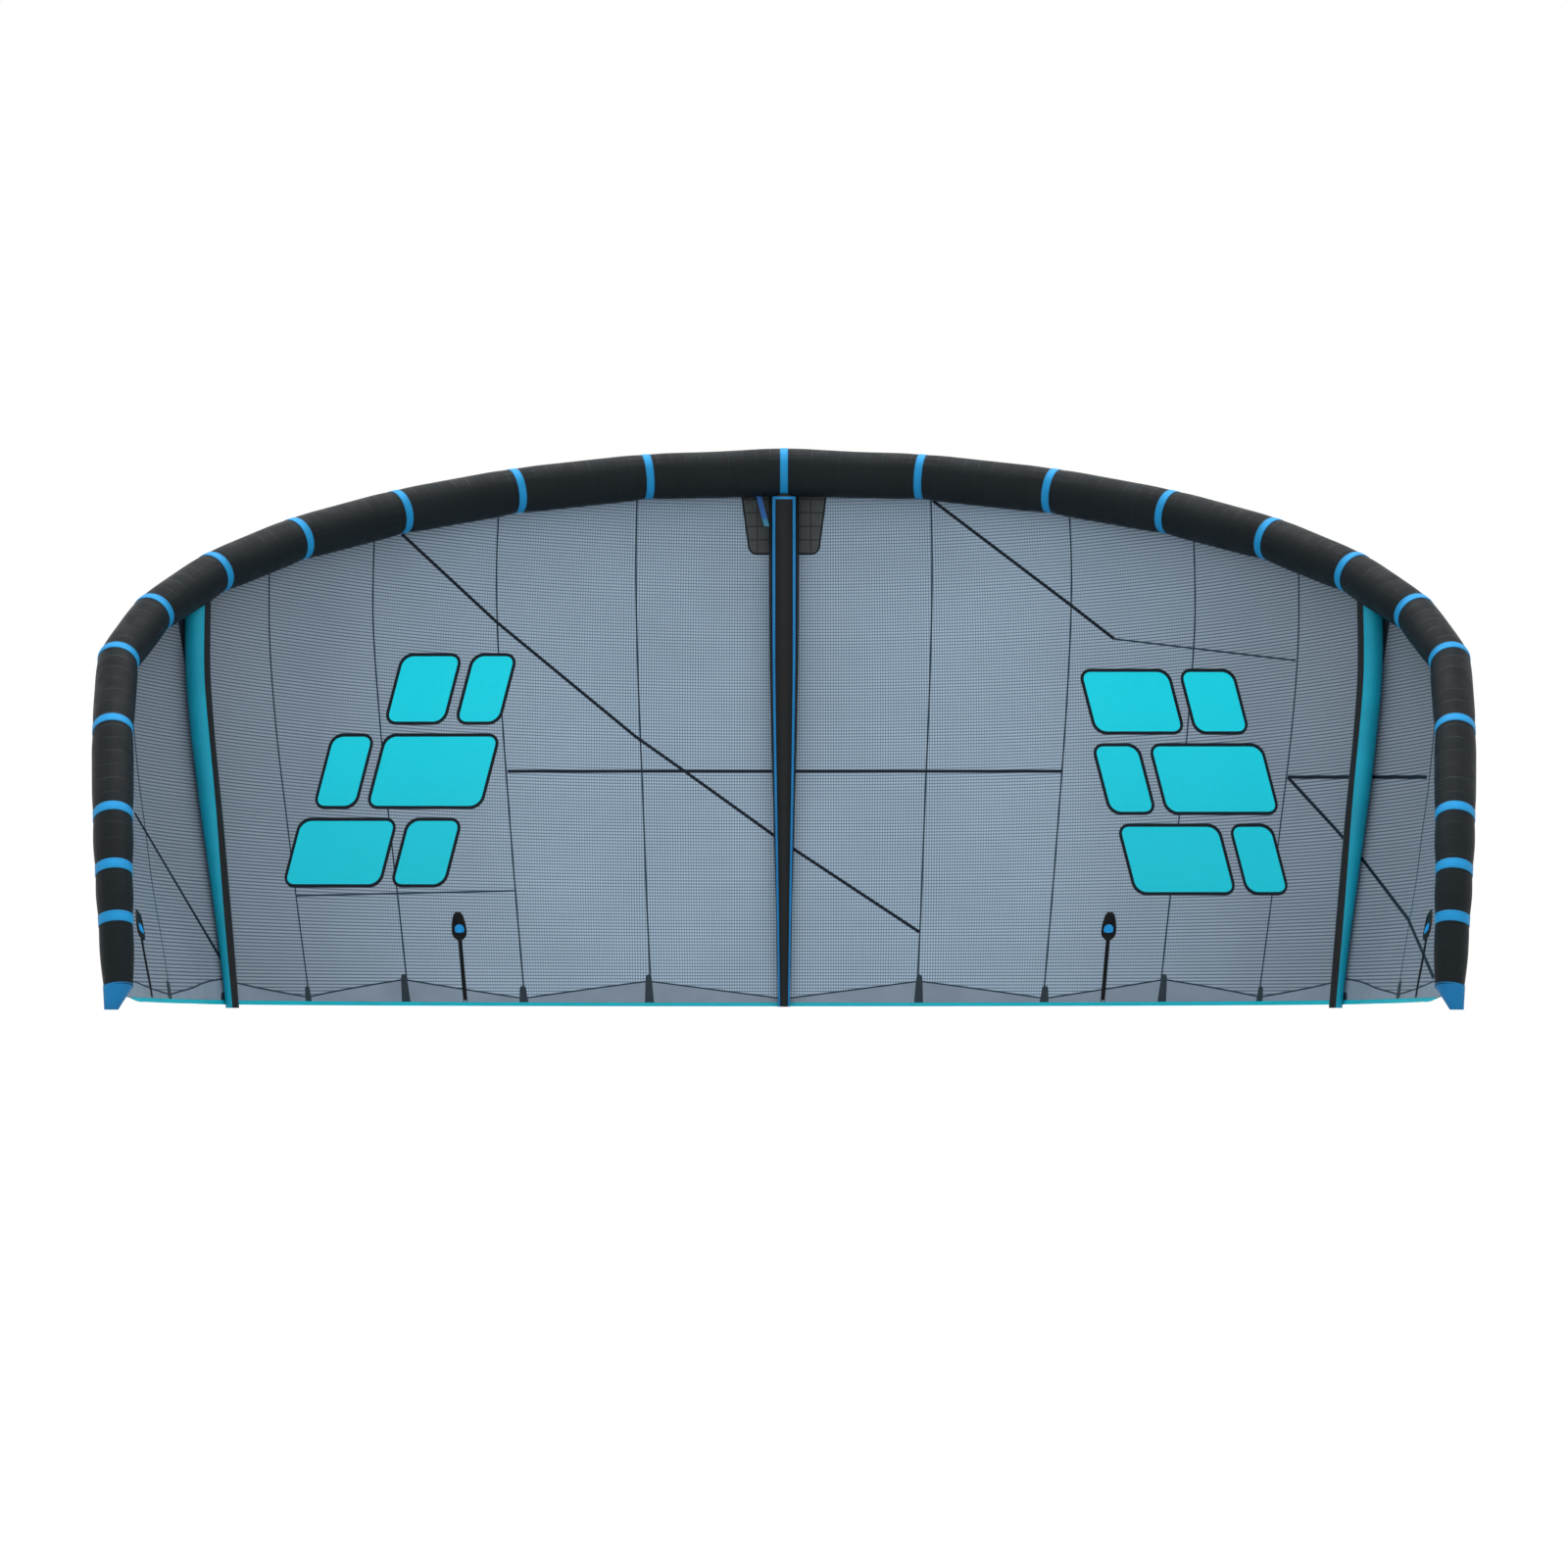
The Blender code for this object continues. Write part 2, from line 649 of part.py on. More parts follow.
def batten_set(label, station, length, lean, side, parts):
    # A flat batten, and the teardrop pocket over its upper end
    stops = batten_stops(station, length, lean)
    name = "batten_" + label
    strip = lying_sheet(name, station, stops, BATTEN_COLUMNS, BATTEN_WALL, side, parts, lean)
    top, bottom = (on_grid(side * leant(station, stop[0], lean), stop[0])
                   for stop in (stops[0], stops[-1]))
    slide = (bottom - top).normalized()
    out = cloth_frame(leant(station, stops[0][0], lean), stops[0][0])[2]
    out.x *= side
    move_origin(paint(strip, NEAR_BLACK, 0.5),
                frame_matrix(top, slide.cross(out).normalized(), slide))
    bottom = share_before(station, stops[0][0], SEAT_GAP, lean)
    top = share_before(station, bottom, CAP_LENGTH, lean)
    stops = [(top + (bottom - top) * along, CAP_WIDTH / 2 * width)
             for along, width in CAP_OUTLINE_SHARES]
    name = "batten_cap_" + label
    cap = lying_sheet(name, station, with_rows(stops, station, lean), CAP_COLUMNS, CAP_WALL,
                      side, parts, lean)
    return strip, paint(cap, NEAR_BLACK, 0.4)


# Inflation valve: a seat through sleeve and bladder, a turning plug and its stopper
def turned(name, profile, parts):
    # The outline runs down its outer side, and its ends meet on or round the axis
    mesh = bpy.data.meshes.new(name)
    points = [(radius, 0, height) for radius, height in profile]
    count = len(points)
    edges = [(i, i + 1) for i in range(count - 1)]
    if profile[0][0] > 0:
        edges.append((count - 1, 0))
    mesh.from_pydata(points, edges, [])
    shape = add_object(name, mesh, parts)
    screw = shape.modifiers.new("turn", "SCREW")
    screw.axis = "Z"
    screw.steps = TURNED_SIDES
    screw.render_steps = TURNED_SIDES
    screw.use_merge_vertices = True
    screw.merge_threshold = MERGE_DISTANCE
    return shape


def bake(shape):
    # The evaluated shape as a plain mesh
    bpy.context.view_layer.update()
    graph = bpy.context.evaluated_depsgraph_get()
    mesh = bpy.data.meshes.new_from_object(shape.evaluated_get(graph))
    shape.modifiers.clear()
    shape.data = mesh
    return shape


def box(name, size, place, collection):
    mesh = bpy.data.meshes.new(name)
    solid = bmesh.new()
    bmesh.ops.create_cube(solid, size=1)
    bmesh.ops.scale(solid, vec=size, verts=solid.verts)
    bmesh.ops.transform(solid, matrix=place, verts=solid.verts)
    solid.to_mesh(mesh)
    solid.free()
    return add_object(name, mesh, collection)


def rod(name, diameter, length, place, collection):
    mesh = bpy.data.meshes.new(name)
    solid = bmesh.new()
    bmesh.ops.create_cone(solid, cap_ends=True, segments=TURNED_SIDES, radius1=diameter / 2,
                          radius2=diameter / 2, depth=length)
    bmesh.ops.transform(solid, matrix=place, verts=solid.verts)
    solid.to_mesh(mesh)
    solid.free()
    return add_object(name, mesh, collection)


def fuse(shape, added):
    boolean = shape.modifiers.new("fuse", "BOOLEAN")
    boolean.operation = "UNION"
    boolean.solver = "EXACT"
    boolean.object = hide_cutter(added)


def valve_matrix():
    # On the middle of one facet of the tube, between strut and canopy. Z points out of
    # the tube, X runs along it and Y points to the pilot.
    station = -station_step(VALVE_OFFSET, 0)
    low, high = on_tube(station, VALVE_SIDE), on_tube(station, VALVE_SIDE + 1)
    along = (on_tube(0, VALVE_SIDE) - on_tube(-1, VALVE_SIDE)).normalized()
    out = along.cross(low - high).normalized()
    return frame_matrix((low + high) / 2, along, out)


def shifted(matrix, x, y, z):
    return matrix @ Matrix.Translation((x, y, z))


def valve_seat(place, parts):
    rim, neck, bore = VALVE_RIM_DIAMETER / 2, VALVE_NECK_DIAMETER / 2, VALVE_BORE / 2
    under = VALVE_STAND - VALVE_RIM_HEIGHT
    seat = turned("valve_seat", [(rim, VALVE_STAND), (rim, under), (neck, under),
                                 (neck, -VALVE_SINK), (bore, -VALVE_SINK),
                                 (bore, VALVE_STAND)], parts)
    seat.matrix_world = place
    return paint(seat, PATCH_GREY, 0.4)


def valve_plug(place, parts, cutters):
    rim, stem, air = VALVE_RIM_DIAMETER / 2, VALVE_BORE / 2 - SEAT_GAP, AIR_HOLE_DIAMETER / 2
    base = VALVE_STAND + SEAT_GAP
    low, top = VALVE_STAND - PLUG_DEPTH, base + PLUG_DISC_HEIGHT
    plug = turned("valve_plug", [(rim, top), (rim, base), (stem, base), (stem, low), (air, low),
                                 (air, top)], parts)
    plug.matrix_world = place
    reach = rim - GRIP_WIDTH / 2 - GRIP_LENGTH / 2
    for way in (-1, 1):
        grip = box("plug_grip", (GRIP_LENGTH, GRIP_WIDTH, 2 * GRIP_HEIGHT),
                   shifted(place, way * reach, 0, top), cutters)
        fuse(plug, grip)
    return paint(plug, NEAR_BLACK, 0.4)


def valve_stopper(place, parts, cutters):
    # Hinged on the pilot's side of the air hole, so that it opens away from the canopy
    hinge = STOPPER_HINGE_DIAMETER / 2
    top = VALVE_STAND + SEAT_GAP + PLUG_DISC_HEIGHT
    pivot = shifted(place, 0, STOPPER_HINGE_OFFSET, top + SEAT_GAP + hinge)
    disc, neck, tip = STOPPER_DIAMETER / 2, AIR_HOLE_DIAMETER / 2, STOPPER_STEM_DIAMETER / 2
    neck -= SEAT_GAP
    stopper = bake(turned("valve_stopper", [(0, STOPPER_WALL - hinge),
                                            (disc, STOPPER_WALL - hinge), (disc, -hinge),
                                            (neck, -hinge), (tip, -hinge - STOPPER_STEM_LENGTH),
                                            (0, -hinge - STOPPER_STEM_LENGTH)], parts))
    stopper.data.transform(Matrix.Translation((0, -STOPPER_HINGE_OFFSET, 0)))
    stopper.matrix_world = pivot
    strap = box("stopper_strap", (STOPPER_HINGE_LENGTH, STOPPER_HINGE_OFFSET, hinge),
                shifted(pivot, 0, -STOPPER_HINGE_OFFSET / 2, 0), cutters)
    barrel = rod("stopper_barrel", STOPPER_HINGE_DIAMETER, STOPPER_HINGE_LENGTH,
                 pivot @ Matrix.Rotation(pi / 2, 4, "Y"), cutters)
    fuse(stopper, strap)
    fuse(stopper, barrel)
    return paint(stopper, BAND_BLUE, 0.4)


def pump_leash_tab(parts, cutters):
    # Webbing sewn to the back of the tube. It swings about the tube's line.
    station = -station_step(TAB_OFFSET, 0)
    roll = TAB_WALL * TAB_ROLL_SHARE
    root = on_tube(station, 0, SEAT_GAP + roll / 2)
    along = (on_tube(0, 0) - on_tube(-1, 0)).normalized()
    down = root - (on_tube(station, 0) + on_tube(station, TUBE_SIDES // 2)) / 2
    down = (down - along * down.dot(along)).normalized()
    place = frame_matrix(root, along, down)
    lean = TAB_LENGTH * tan(radians(TAB_LEAN_DEGREES))
    half, wall = TAB_WIDTH / 2, TAB_WALL / 2
    rings = [[Vector((x + shift, y, reach)) for x, y in
              ((-half, -wall), (half, -wall), (half, wall), (-half, wall))]
             for reach, shift in ((0, 0), (TAB_LENGTH, lean))]
    tab = add_object("pump_leash_tab", solid_loft("pump_leash_tab", rings), parts)
    tab.matrix_world = place
    crossways = Matrix.Rotation(pi / 2, 4, "Y")
    fuse(tab, rod("tab_roll", roll, TAB_WIDTH, place @ crossways, cutters))
    knob = shifted(place, lean, 0, TAB_LENGTH) @ crossways
    fuse(tab, rod("tab_knob", TAB_KNOB_DIAMETER, TAB_WIDTH, knob, cutters))
    return paint(tab, BAND_BLUE, 0.5)


def centre_on_origin(parts, cutters):
    # The tube's middle was at y 0 until here
    bpy.context.view_layer.update()
    graph = bpy.context.evaluated_depsgraph_get()
    depths = [(shape.matrix_world @ Vector(corner)).y for shape in parts.objects
              for corner in shape.evaluated_get(graph).bound_box]
    for shape in [*parts.objects, *cutters.objects]:
        shape.location.y -= (min(depths) + max(depths)) / 2
    bpy.context.view_layer.update()


def build():
    for shape in list(bpy.data.objects):
        bpy.data.objects.remove(shape, do_unlink=True)
    parts = new_collection("kitesurfing_kite")
    cutters = new_collection("cutters")

    bladder = leading_edge_bladder(parts)
    sleeves = {side: leading_edge_sleeve(side, parts) for side in (-1, 1)}
    seam_band(0, 1, parts)
    for side in (-1, 1):
        for joint in range(1, TIP_STATION):
            seam_band(joint, side, parts)
        tip_cover(side, parts)

    seat = LYING_GAP + PATCH_WALL + SEAT_GAP
    reach = station_step(STRUT_ROOT_DIAMETER, 0)
    root_cutter = tube_cutter(-reach, reach, 2 * SEAT_GAP + BAND_WALL, 1, cutters)
    strut_pair("centre", 0, STRUT_ROOT_DIAMETER, STRUT_END_DIAMETER, seat, root_cutter, 1, parts)
    for side in (-1, 1):
        reach = station_step(SIDE_STRUT_ROOT_DIAMETER, SIDE_STRUT_STATION)
        root_cutter = tube_cutter(SIDE_STRUT_STATION - reach, SIDE_STRUT_STATION + reach,
                                  SEAT_GAP, side, cutters)
        strut_pair(side_name(side), SIDE_STRUT_STATION, SIDE_STRUT_ROOT_DIAMETER,
                   SIDE_STRUT_END_DIAMETER, SEAT_GAP, root_cutter, side, parts)
        for index in range(len(COLUMNS_PER_STATION)):
            canopy_panel(index, side, parts)
        batten_set(side_name(side), BATTEN_STATION, BATTEN_LENGTH, 0, side, parts)
        batten_set("tip_" + side_name(side), TIP_BATTEN_STATION, TIP_BATTEN_LENGTH,
                   TIP_BATTEN_LEAN, side, parts)
    trailing_edge_binding(parts)
    centre_patch(parts)

    place = valve_matrix()
    length = VALVE_SINK + CUT_OVERRUN + VALVE_STAND
    hole = hide_cutter(rod("valve_hole", VALVE_NECK_DIAMETER + 2 * SEAT_GAP, length,
                           shifted(place, 0, 0, VALVE_STAND - length / 2), cutters))
    cut(sleeves[-1], hole)
    cut(bladder, hole)
    valve_seat(place, parts)
    valve_plug(place, parts, cutters)
    valve_stopper(place, parts, cutters)
    pump_leash_tab(parts, cutters)
    centre_on_origin(parts, cutters)


build()
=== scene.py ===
from math import asin, atan, cos, exp, hypot, pi, radians, sin, sqrt, tan
import bpy
from mathutils import Matrix, Vector, noise


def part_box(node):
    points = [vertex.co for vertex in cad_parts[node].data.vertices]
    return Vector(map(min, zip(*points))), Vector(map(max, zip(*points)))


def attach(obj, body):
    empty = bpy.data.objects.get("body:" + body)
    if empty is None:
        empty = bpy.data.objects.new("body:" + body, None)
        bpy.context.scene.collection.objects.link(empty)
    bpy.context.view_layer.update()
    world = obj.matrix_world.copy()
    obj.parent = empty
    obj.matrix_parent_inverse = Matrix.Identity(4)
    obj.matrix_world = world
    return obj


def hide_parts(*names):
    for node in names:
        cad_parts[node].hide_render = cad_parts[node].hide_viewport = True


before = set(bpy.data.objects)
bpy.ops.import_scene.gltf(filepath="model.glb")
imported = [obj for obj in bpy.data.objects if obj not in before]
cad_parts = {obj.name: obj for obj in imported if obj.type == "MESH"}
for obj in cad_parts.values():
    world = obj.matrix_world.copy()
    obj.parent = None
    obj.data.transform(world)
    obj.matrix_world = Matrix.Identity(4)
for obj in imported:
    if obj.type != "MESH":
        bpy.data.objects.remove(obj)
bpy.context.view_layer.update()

print("frame loaded")

picture = {"size": 1600, "horizonRow": 1018, "focal": 2500, "sensor": 36}
cameraSeat = {"distance": 8.13, "height": 0.03}

wing = {
    "tubeLength": 7.590, "middleDiameter": 0.150, "tipDiameter": 0.072, "tubeSides": 16,
    "lengthShares": (93, 91, 85, 80, 71, 62, 55, 62, 63, 34, 28, 35),
    "arcDegrees": (7, 19, 32, 44, 54, 64, 80, 103, 107, 109, 113, 117),
    "sweepDegrees": (3, 10, 15.5, 20, 25, 31, 37, 45, 51, 59, 67, 73),
    "taperShares": (0, 0.04, 0.08, 0.16, 0.26, 0.36, 0.46, 0.54, 0.60, 0.66, 0.76, 0.85, 1),
    "tipHeight": 0.055, "tip": 12,
    "edgeStations": (0, 1, 2, 3, 4, 5.25, 7, 8.5, 10, 12),
    "edgeWidthShares": (0, 0.240, 0.457, 0.647, 0.788, 0.882, 0.897, 0.902, 0.900, 0.894),
    "edgeDepthShares": (0, 0.015, 0.076, 0.178, 0.306, 0.484, 0.620, 0.764, 0.866, 0.968),
    "middleLift": 0.0123, "tipLift": 0.0303,    # lower edge of the cloth above the floor
    "riseStations": (0, 3, 5.25, 8, 12),        # camber, as shares of the chord
    "frontRises": (0.066, 0.066, 0.044, 0.026, 0.020),
    "backRises": (0.044, 0.044, 0, 0, 0),
    "sewTurn": 3 * pi / 8,                      # where the cloth is sewn to the tube
    "sewGap": 0.0012,
    "bandWidth": 0.027, "billow": 0.006, "flutter": 0.0025,
    "panelStations": (0, 1, 2, 3, 4, 5.25, 12),
    "seamShares": (0, 0.1, 0.2, 0.4, 0.6, 0.8, 1),
    "seamPlaces": {1: (1.047, 1.048, 1.044, 1.026, 1.006, 0.996, 0.985),
                   2: (2.088, 2.091, 2.082, 2.052, 2.023, 2.004, 1.990),
                   3: (3.152, 3.135, 3.118, 3.065, 3.023, 2.988, 2.972),
                   4: (4.204, 4.180, 4.157, 4.110, 4.057, 4.022, 3.985)},
}


# Smooth line through a short table of values
def smoothThrough(places, values, at):
    last = len(places) - 1
    i = max(k for k in range(last) if places[k] <= at or k == 0)
    span = places[i + 1] - places[i]
    t = (at - places[i]) / span

    def slope(k):
        low, high = max(k - 1, 0), min(k + 1, last)
        return (values[high] - values[low]) / (places[high] - places[low])

    a, b = slope(i) * span, slope(i + 1) * span
    return ((2 * t**3 - 3 * t**2 + 1) * values[i] + (t**3 - 2 * t**2 + t) * a
            + (3 * t**2 - 2 * t**3) * values[i + 1] + (t**3 - t**2) * b)


def steps(first, last, count):
    return [first + (last - first) * i / count for i in range(count + 1)]


def ease(value):
    value = min(max(value, 0), 1)
    return value * value * (3 - 2 * value)


# The tube's joints, radii and directions
def tubeLine():
    directions = []
    for arc, sweep in zip(wing["arcDegrees"], wing["sweepDegrees"]):
        arc, sweep = radians(arc), radians(sweep)
        directions.append(Vector((cos(arc) * cos(sweep), -sin(arc) * cos(sweep), -sin(sweep))))
    unit = wing["tubeLength"] / 2 / sum(wing["lengthShares"])
    joints = [Vector((0, 0, 0))]
    for share, direction in zip(wing["lengthShares"], directions):
        joints.append(joints[-1] + direction * unit * share)
    lift = Vector((0, 0, wing["tipHeight"] - joints[-1].z))
    return directions, [joint + lift for joint in joints]


directions, joints = tubeLine()
lengths = [(b - a).length for a, b in zip(joints, joints[1:])]
radii = [(wing["middleDiameter"] + (wing["tipDiameter"] - wing["middleDiameter"]) * share) / 2
         for share in wing["taperShares"]]
halfWidth, depth = max(joint.x for joint in joints), -joints[-1].y


shift = Vector((0, 0, 0))    # from the tube's middle to the wing's own middle, once known


def edgePoint(station):
    width = smoothThrough(wing["edgeStations"], wing["edgeWidthShares"], station)
    back = smoothThrough(wing["edgeStations"], wing["edgeDepthShares"], station)
    lift = wing["middleLift"] + (wing["tipLift"] - wing["middleLift"]) * back
    return Vector((halfWidth * width, -depth * back, lift)) + shift


def jointFrame(k):
    # Along the tube, towards the lower edge, and out of the canopy's rounded side
    if k == 0:
        tangent = Vector((1, 0, 0))
    elif k == wing["tip"]:
        tangent = directions[-1]
    else:
        tangent = (directions[k - 1] + directions[k]).normalized()
    back = edgePoint(k) - joints[k]
    back = (back - tangent * back.dot(tangent)).normalized()
    return tangent, back, tangent.cross(back)


frames = [jointFrame(k) for k in range(wing["tip"] + 1)]


def onJoint(k, turn, grow):
    tangent, back, out = frames[k]
    return joints[k] + (back * cos(turn) + out * sin(turn)) * (radii[k] + grow)


def onTube(station, turn, grow=0.0):
    k = min(int(station), wing["tip"] - 1)
    return onJoint(k, turn, grow).lerp(onJoint(k + 1, turn, grow), station - k)


# The wing was laid out from the middle of its tube, and stands on its own middle
facet = 2 * pi / wing["tubeSides"]
bandSkin = max(onJoint(0, facet * i, 0.0009).y for i in range(wing["tubeSides"]))
shift = Vector((0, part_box("seam_band_centre")[1][1] - bandSkin, 0))
joints = [joint + shift for joint in joints]


def outAt(station):
    k = min(int(station), wing["tip"] - 1)
    return frames[k][2].lerp(frames[k + 1][2], station - k)


sewn = [onJoint(k, wing["sewTurn"], wing["sewGap"]) for k in range(wing["tip"] + 1)]
sewnPlaces = list(range(-1, wing["tip"] + 1))
sewn = [Vector((-sewn[1].x, sewn[1].y, sewn[1].z))] + sewn


def clothStart(station, share):
    # Kinked at the tube's joints, and smooth further down the cloth
    kinked = onTube(station, wing["sewTurn"], wing["sewGap"])
    return kinked.lerp(smoothThrough(sewnPlaces, sewn, station), ease(share / 0.25))


def swell(station, share):
    # A little fuller between the seams, and waved along the loose edge
    seams = wing["panelStations"]
    i = max(k for k in range(len(seams) - 1) if seams[k] <= station or k == 0)
    across = (station - seams[i]) / (seams[i + 1] - seams[i])
    full = sin(pi * across) ** 2 * sin(pi * min(share * 1.1, 1))
    if i == len(seams) - 2:
        full *= 1.6
    wave = noise.noise(Vector((station * 1.7, 4.1, 0))) * share**8
    return wing["billow"] * full + wing["flutter"] * wave


def clothMiddle(station, share):
    start, end = clothStart(station, share), edgePoint(station)
    chord = end - start
    out = outAt(station)
    out = (out - chord * out.dot(chord) / chord.length_squared).normalized()
    frontRise, backRise = (smoothThrough(wing["riseStations"], wing[name], station)
                           for name in ("frontRises", "backRises"))
    front = start + chord / 3 + out * chord.length * frontRise
    rear = end - chord / 3 + out * chord.length * backRise
    rest = 1 - share
    point = (start * rest**3 + front * 3 * rest**2 * share
             + rear * 3 * rest * share**2 + end * share**3)
    return point + out * swell(station, share)


def clothFrame(station, share):
    # Across the cloth, down it, and out of its rounded side
    step = 0.02
    low, high = max(share - step, 0), min(share + step, 1)
    left, right = max(station - step, 0), min(station + step, wing["tip"])
    down = (clothMiddle(station, high) - clothMiddle(station, low)).normalized()
    across = clothMiddle(right, share) - clothMiddle(left, share)
    if station < step:
        across = Vector((across.x, 0, 0))
    out = across.cross(down).normalized()
    return down.cross(out), down, out


def mirrored(point):
    return Vector((-point.x, point.y, point.z))


def onCloth(station, share, lift=0.0):
    # A point of the pilot's side, lifted towards the rounded side
    near = abs(station)
    point = clothMiddle(near, share)
    if lift:
        point = point + clothFrame(near, share)[2] * lift
    return mirrored(point) if station < 0 else point


def clothOut(station, share):
    out = clothFrame(abs(station), share)[2]
    return mirrored(out) if station < 0 else out


def seamAt(station, share):
    # The seams lean a little outwards towards the tube
    places = wing["seamPlaces"].get(station)
    return smoothThrough(wing["seamShares"], places, share) if places else station


def chordAt(station):
    return (onCloth(station, 1) - onCloth(station, 0)).length


def leant(station, share, lean):
    # A line that reaches the lower edge at a station and leans so many over the chord
    return station - lean * (1 - share)


def squareStep(station, share, lean):
    # Steps in station and share that make a metre at right angles to a leaning line
    here, step = clothMiddle(station, share), 0.02
    beside = (clothMiddle(station + step, share) - here) / step
    below = (here - clothMiddle(station, share - step)) / step
    line = below + beside * lean
    back = -beside.dot(line) / below.dot(line)
    length = (beside + below * back).length
    return 1 / length, back / length


def shareBefore(station, share, length, lean, step=0.0004):
    # The share this far up a leaning line, found by walking
    spot = clothMiddle(leant(station, share, lean), share)
    while (clothMiddle(leant(station, share, lean), share) - spot).length < length:
        share -= step
    return share


def aimCamera():
    shot = bpy.data.cameras.new("camera")
    seat = bpy.data.objects.new("camera", shot)
    bpy.context.scene.collection.objects.link(seat)
    shot.sensor_width = picture["sensor"]
    shot.lens = picture["focal"] * picture["sensor"] / picture["size"]
    shot.clip_end = 200
    tilt = atan((picture["horizonRow"] - picture["size"] / 2) / picture["focal"])
    seat.location = (0, shift.y - cameraSeat["distance"], cameraSeat["height"])
    seat.rotation_euler = (pi / 2 + tilt, 0, 0)
    bpy.context.scene.camera = seat
    return Vector(seat.location), tilt


eye, tilt = aimCamera()
ahead, upward = Vector((0, cos(tilt), sin(tilt))), Vector((0, -sin(tilt), cos(tilt)))


def inPicture(point):
    ray = point - eye
    far = ray.dot(ahead) / picture["focal"]
    return picture["size"] / 2 + ray.x / far, picture["size"] / 2 - ray.dot(upward) / far


coarse = [(s, r, inPicture(clothMiddle(s, r))) for s in steps(0, wing["tip"], 24)
          for r in steps(0, 1, 8)]


def clothAt(column, row):
    # The place on the cloth that the camera sees in this column and row of the picture
    side = -1 if column < picture["size"] / 2 else 1
    column = picture["size"] / 2 + abs(column - picture["size"] / 2)
    station, share = min(coarse, key=lambda c: hypot(c[2][0] - column, c[2][1] - row))[:2]
    small = 0.002
    for turn in range(6):
        x, y = inPicture(clothMiddle(station, share))
        over = small if station < wing["tip"] - 0.1 else -small
        overX, overY = inPicture(clothMiddle(station + over, share))
        down = small if share < 0.9 else -small
        downX, downY = inPicture(clothMiddle(station, share + down))
        a, b = (overX - x) / over, (downX - x) / down
        c, d = (overY - y) / over, (downY - y) / down
        whole = a * d - b * c
        dx, dy = column - x, row - y
        station = min(max(station + (dx * d - dy * b) / whole, 0), wing["tip"])
        share = min(max(share + (dy * a - dx * c) / whole, 0), 1)
    return side * station, share


# Finishes
def addNode(tree, kind, settings=None, inputs=None):
    node = tree.nodes.new("ShaderNode" + kind)
    for name, value in (settings or {}).items():
        setattr(node, name, value)
    for name, value in (inputs or {}).items():
        if isinstance(value, bpy.types.NodeSocket):
            tree.links.new(value, node.inputs[name])
        else:
            node.inputs[name].default_value = value
    return node


def hexColour(code):
    channels = [int(code[i:i + 2], 16) / 255 for i in (1, 3, 5)]
    return (*[c / 12.92 if c <= 0.04045 else ((c + 0.055) / 1.055) ** 2.4 for c in channels], 1)


def startFinish(name, roughness, **sockets):
    finish = bpy.data.materials.new(name)
    finish.use_nodes = True
    tree = finish.node_tree
    shader = tree.nodes["Principled BSDF"]
    shader.inputs["Roughness"].default_value = roughness
    for socket, value in sockets.items():
        shader.inputs[socket.replace("_", " ")].default_value = value
    return finish, tree, shader


def readUv(tree):
    place = addNode(tree, "TexCoord")
    return addNode(tree, "SeparateXYZ", inputs={0: place.outputs["UV"]}), place


def threadLines(tree, coordinate, spacing, width):
    # 1 on lines that lie this far apart, 0 between them, all in metres
    near = addNode(tree, "Math", {"operation": "PINGPONG"}, {0: coordinate, 1: spacing / 2})
    line = addNode(tree, "MapRange", {"interpolation_type": "SMOOTHSTEP"},
                   {0: near.outputs[0], 1: width * 0.25, 2: width * 0.6, 3: 1.0, 4: 0.0})
    return line.outputs[0]


def blotches(tree, place, scale, low, high, detail=3.0):
    cloud = addNode(tree, "TexNoise", inputs={"Vector": place.outputs["Object"], "Scale": scale,
                                              "Detail": detail})
    spread = addNode(tree, "MapRange", inputs={0: cloud.outputs[0], 1: 0.3, 2: 0.7, 3: low,
                                               4: high})
    return spread.outputs[0]


def layOver(tree, mask, under, over):
    # One colour over another where the mask is 1
    return addNode(tree, "Mix", {"data_type": "RGBA"}, {0: mask, 6: under, 7: over}).outputs[2]


def clouded(tree, place, colour, scale, low, high):
    # The colour in soft clouds, from this much darker to this much lighter
    cloud = addNode(tree, "CombineColor", inputs={i: blotches(tree, place, scale, low, high)
                                                  for i in range(3)})
    return addNode(tree, "Mix", {"data_type": "RGBA", "blend_type": "MULTIPLY"},
                   {0: 1.0, 6: colour, 7: cloud.outputs[0]}).outputs[2]


def addRelief(tree, shader, height, distance, strength=1.0):
    bump = addNode(tree, "Bump", inputs={"Height": height, "Distance": distance,
                                         "Strength": strength})
    tree.links.new(bump.outputs[0], shader.inputs["Normal"])


def weave(tree, place, spacing, size=1.0):
    # Plain weave: crossed threads this far apart
    parts = addNode(tree, "SeparateXYZ", inputs={0: place.outputs["UV"]})
    waves = []
    for axis in (0, 1):
        turn = addNode(tree, "Math", {"operation": "MULTIPLY"},
                       {0: parts.outputs[axis], 1: 2 * pi / spacing})
        wave = addNode(tree, "Math", {"operation": "SINE"}, {0: turn.outputs[0]})
        waves.append(wave.outputs[0])
    both = addNode(tree, "Math", {"operation": "MULTIPLY"}, {0: waves[0], 1: waves[1]})
    return addNode(tree, "Math", {"operation": "MULTIPLY"},
                   {0: both.outputs[0], 1: size}).outputs[0]


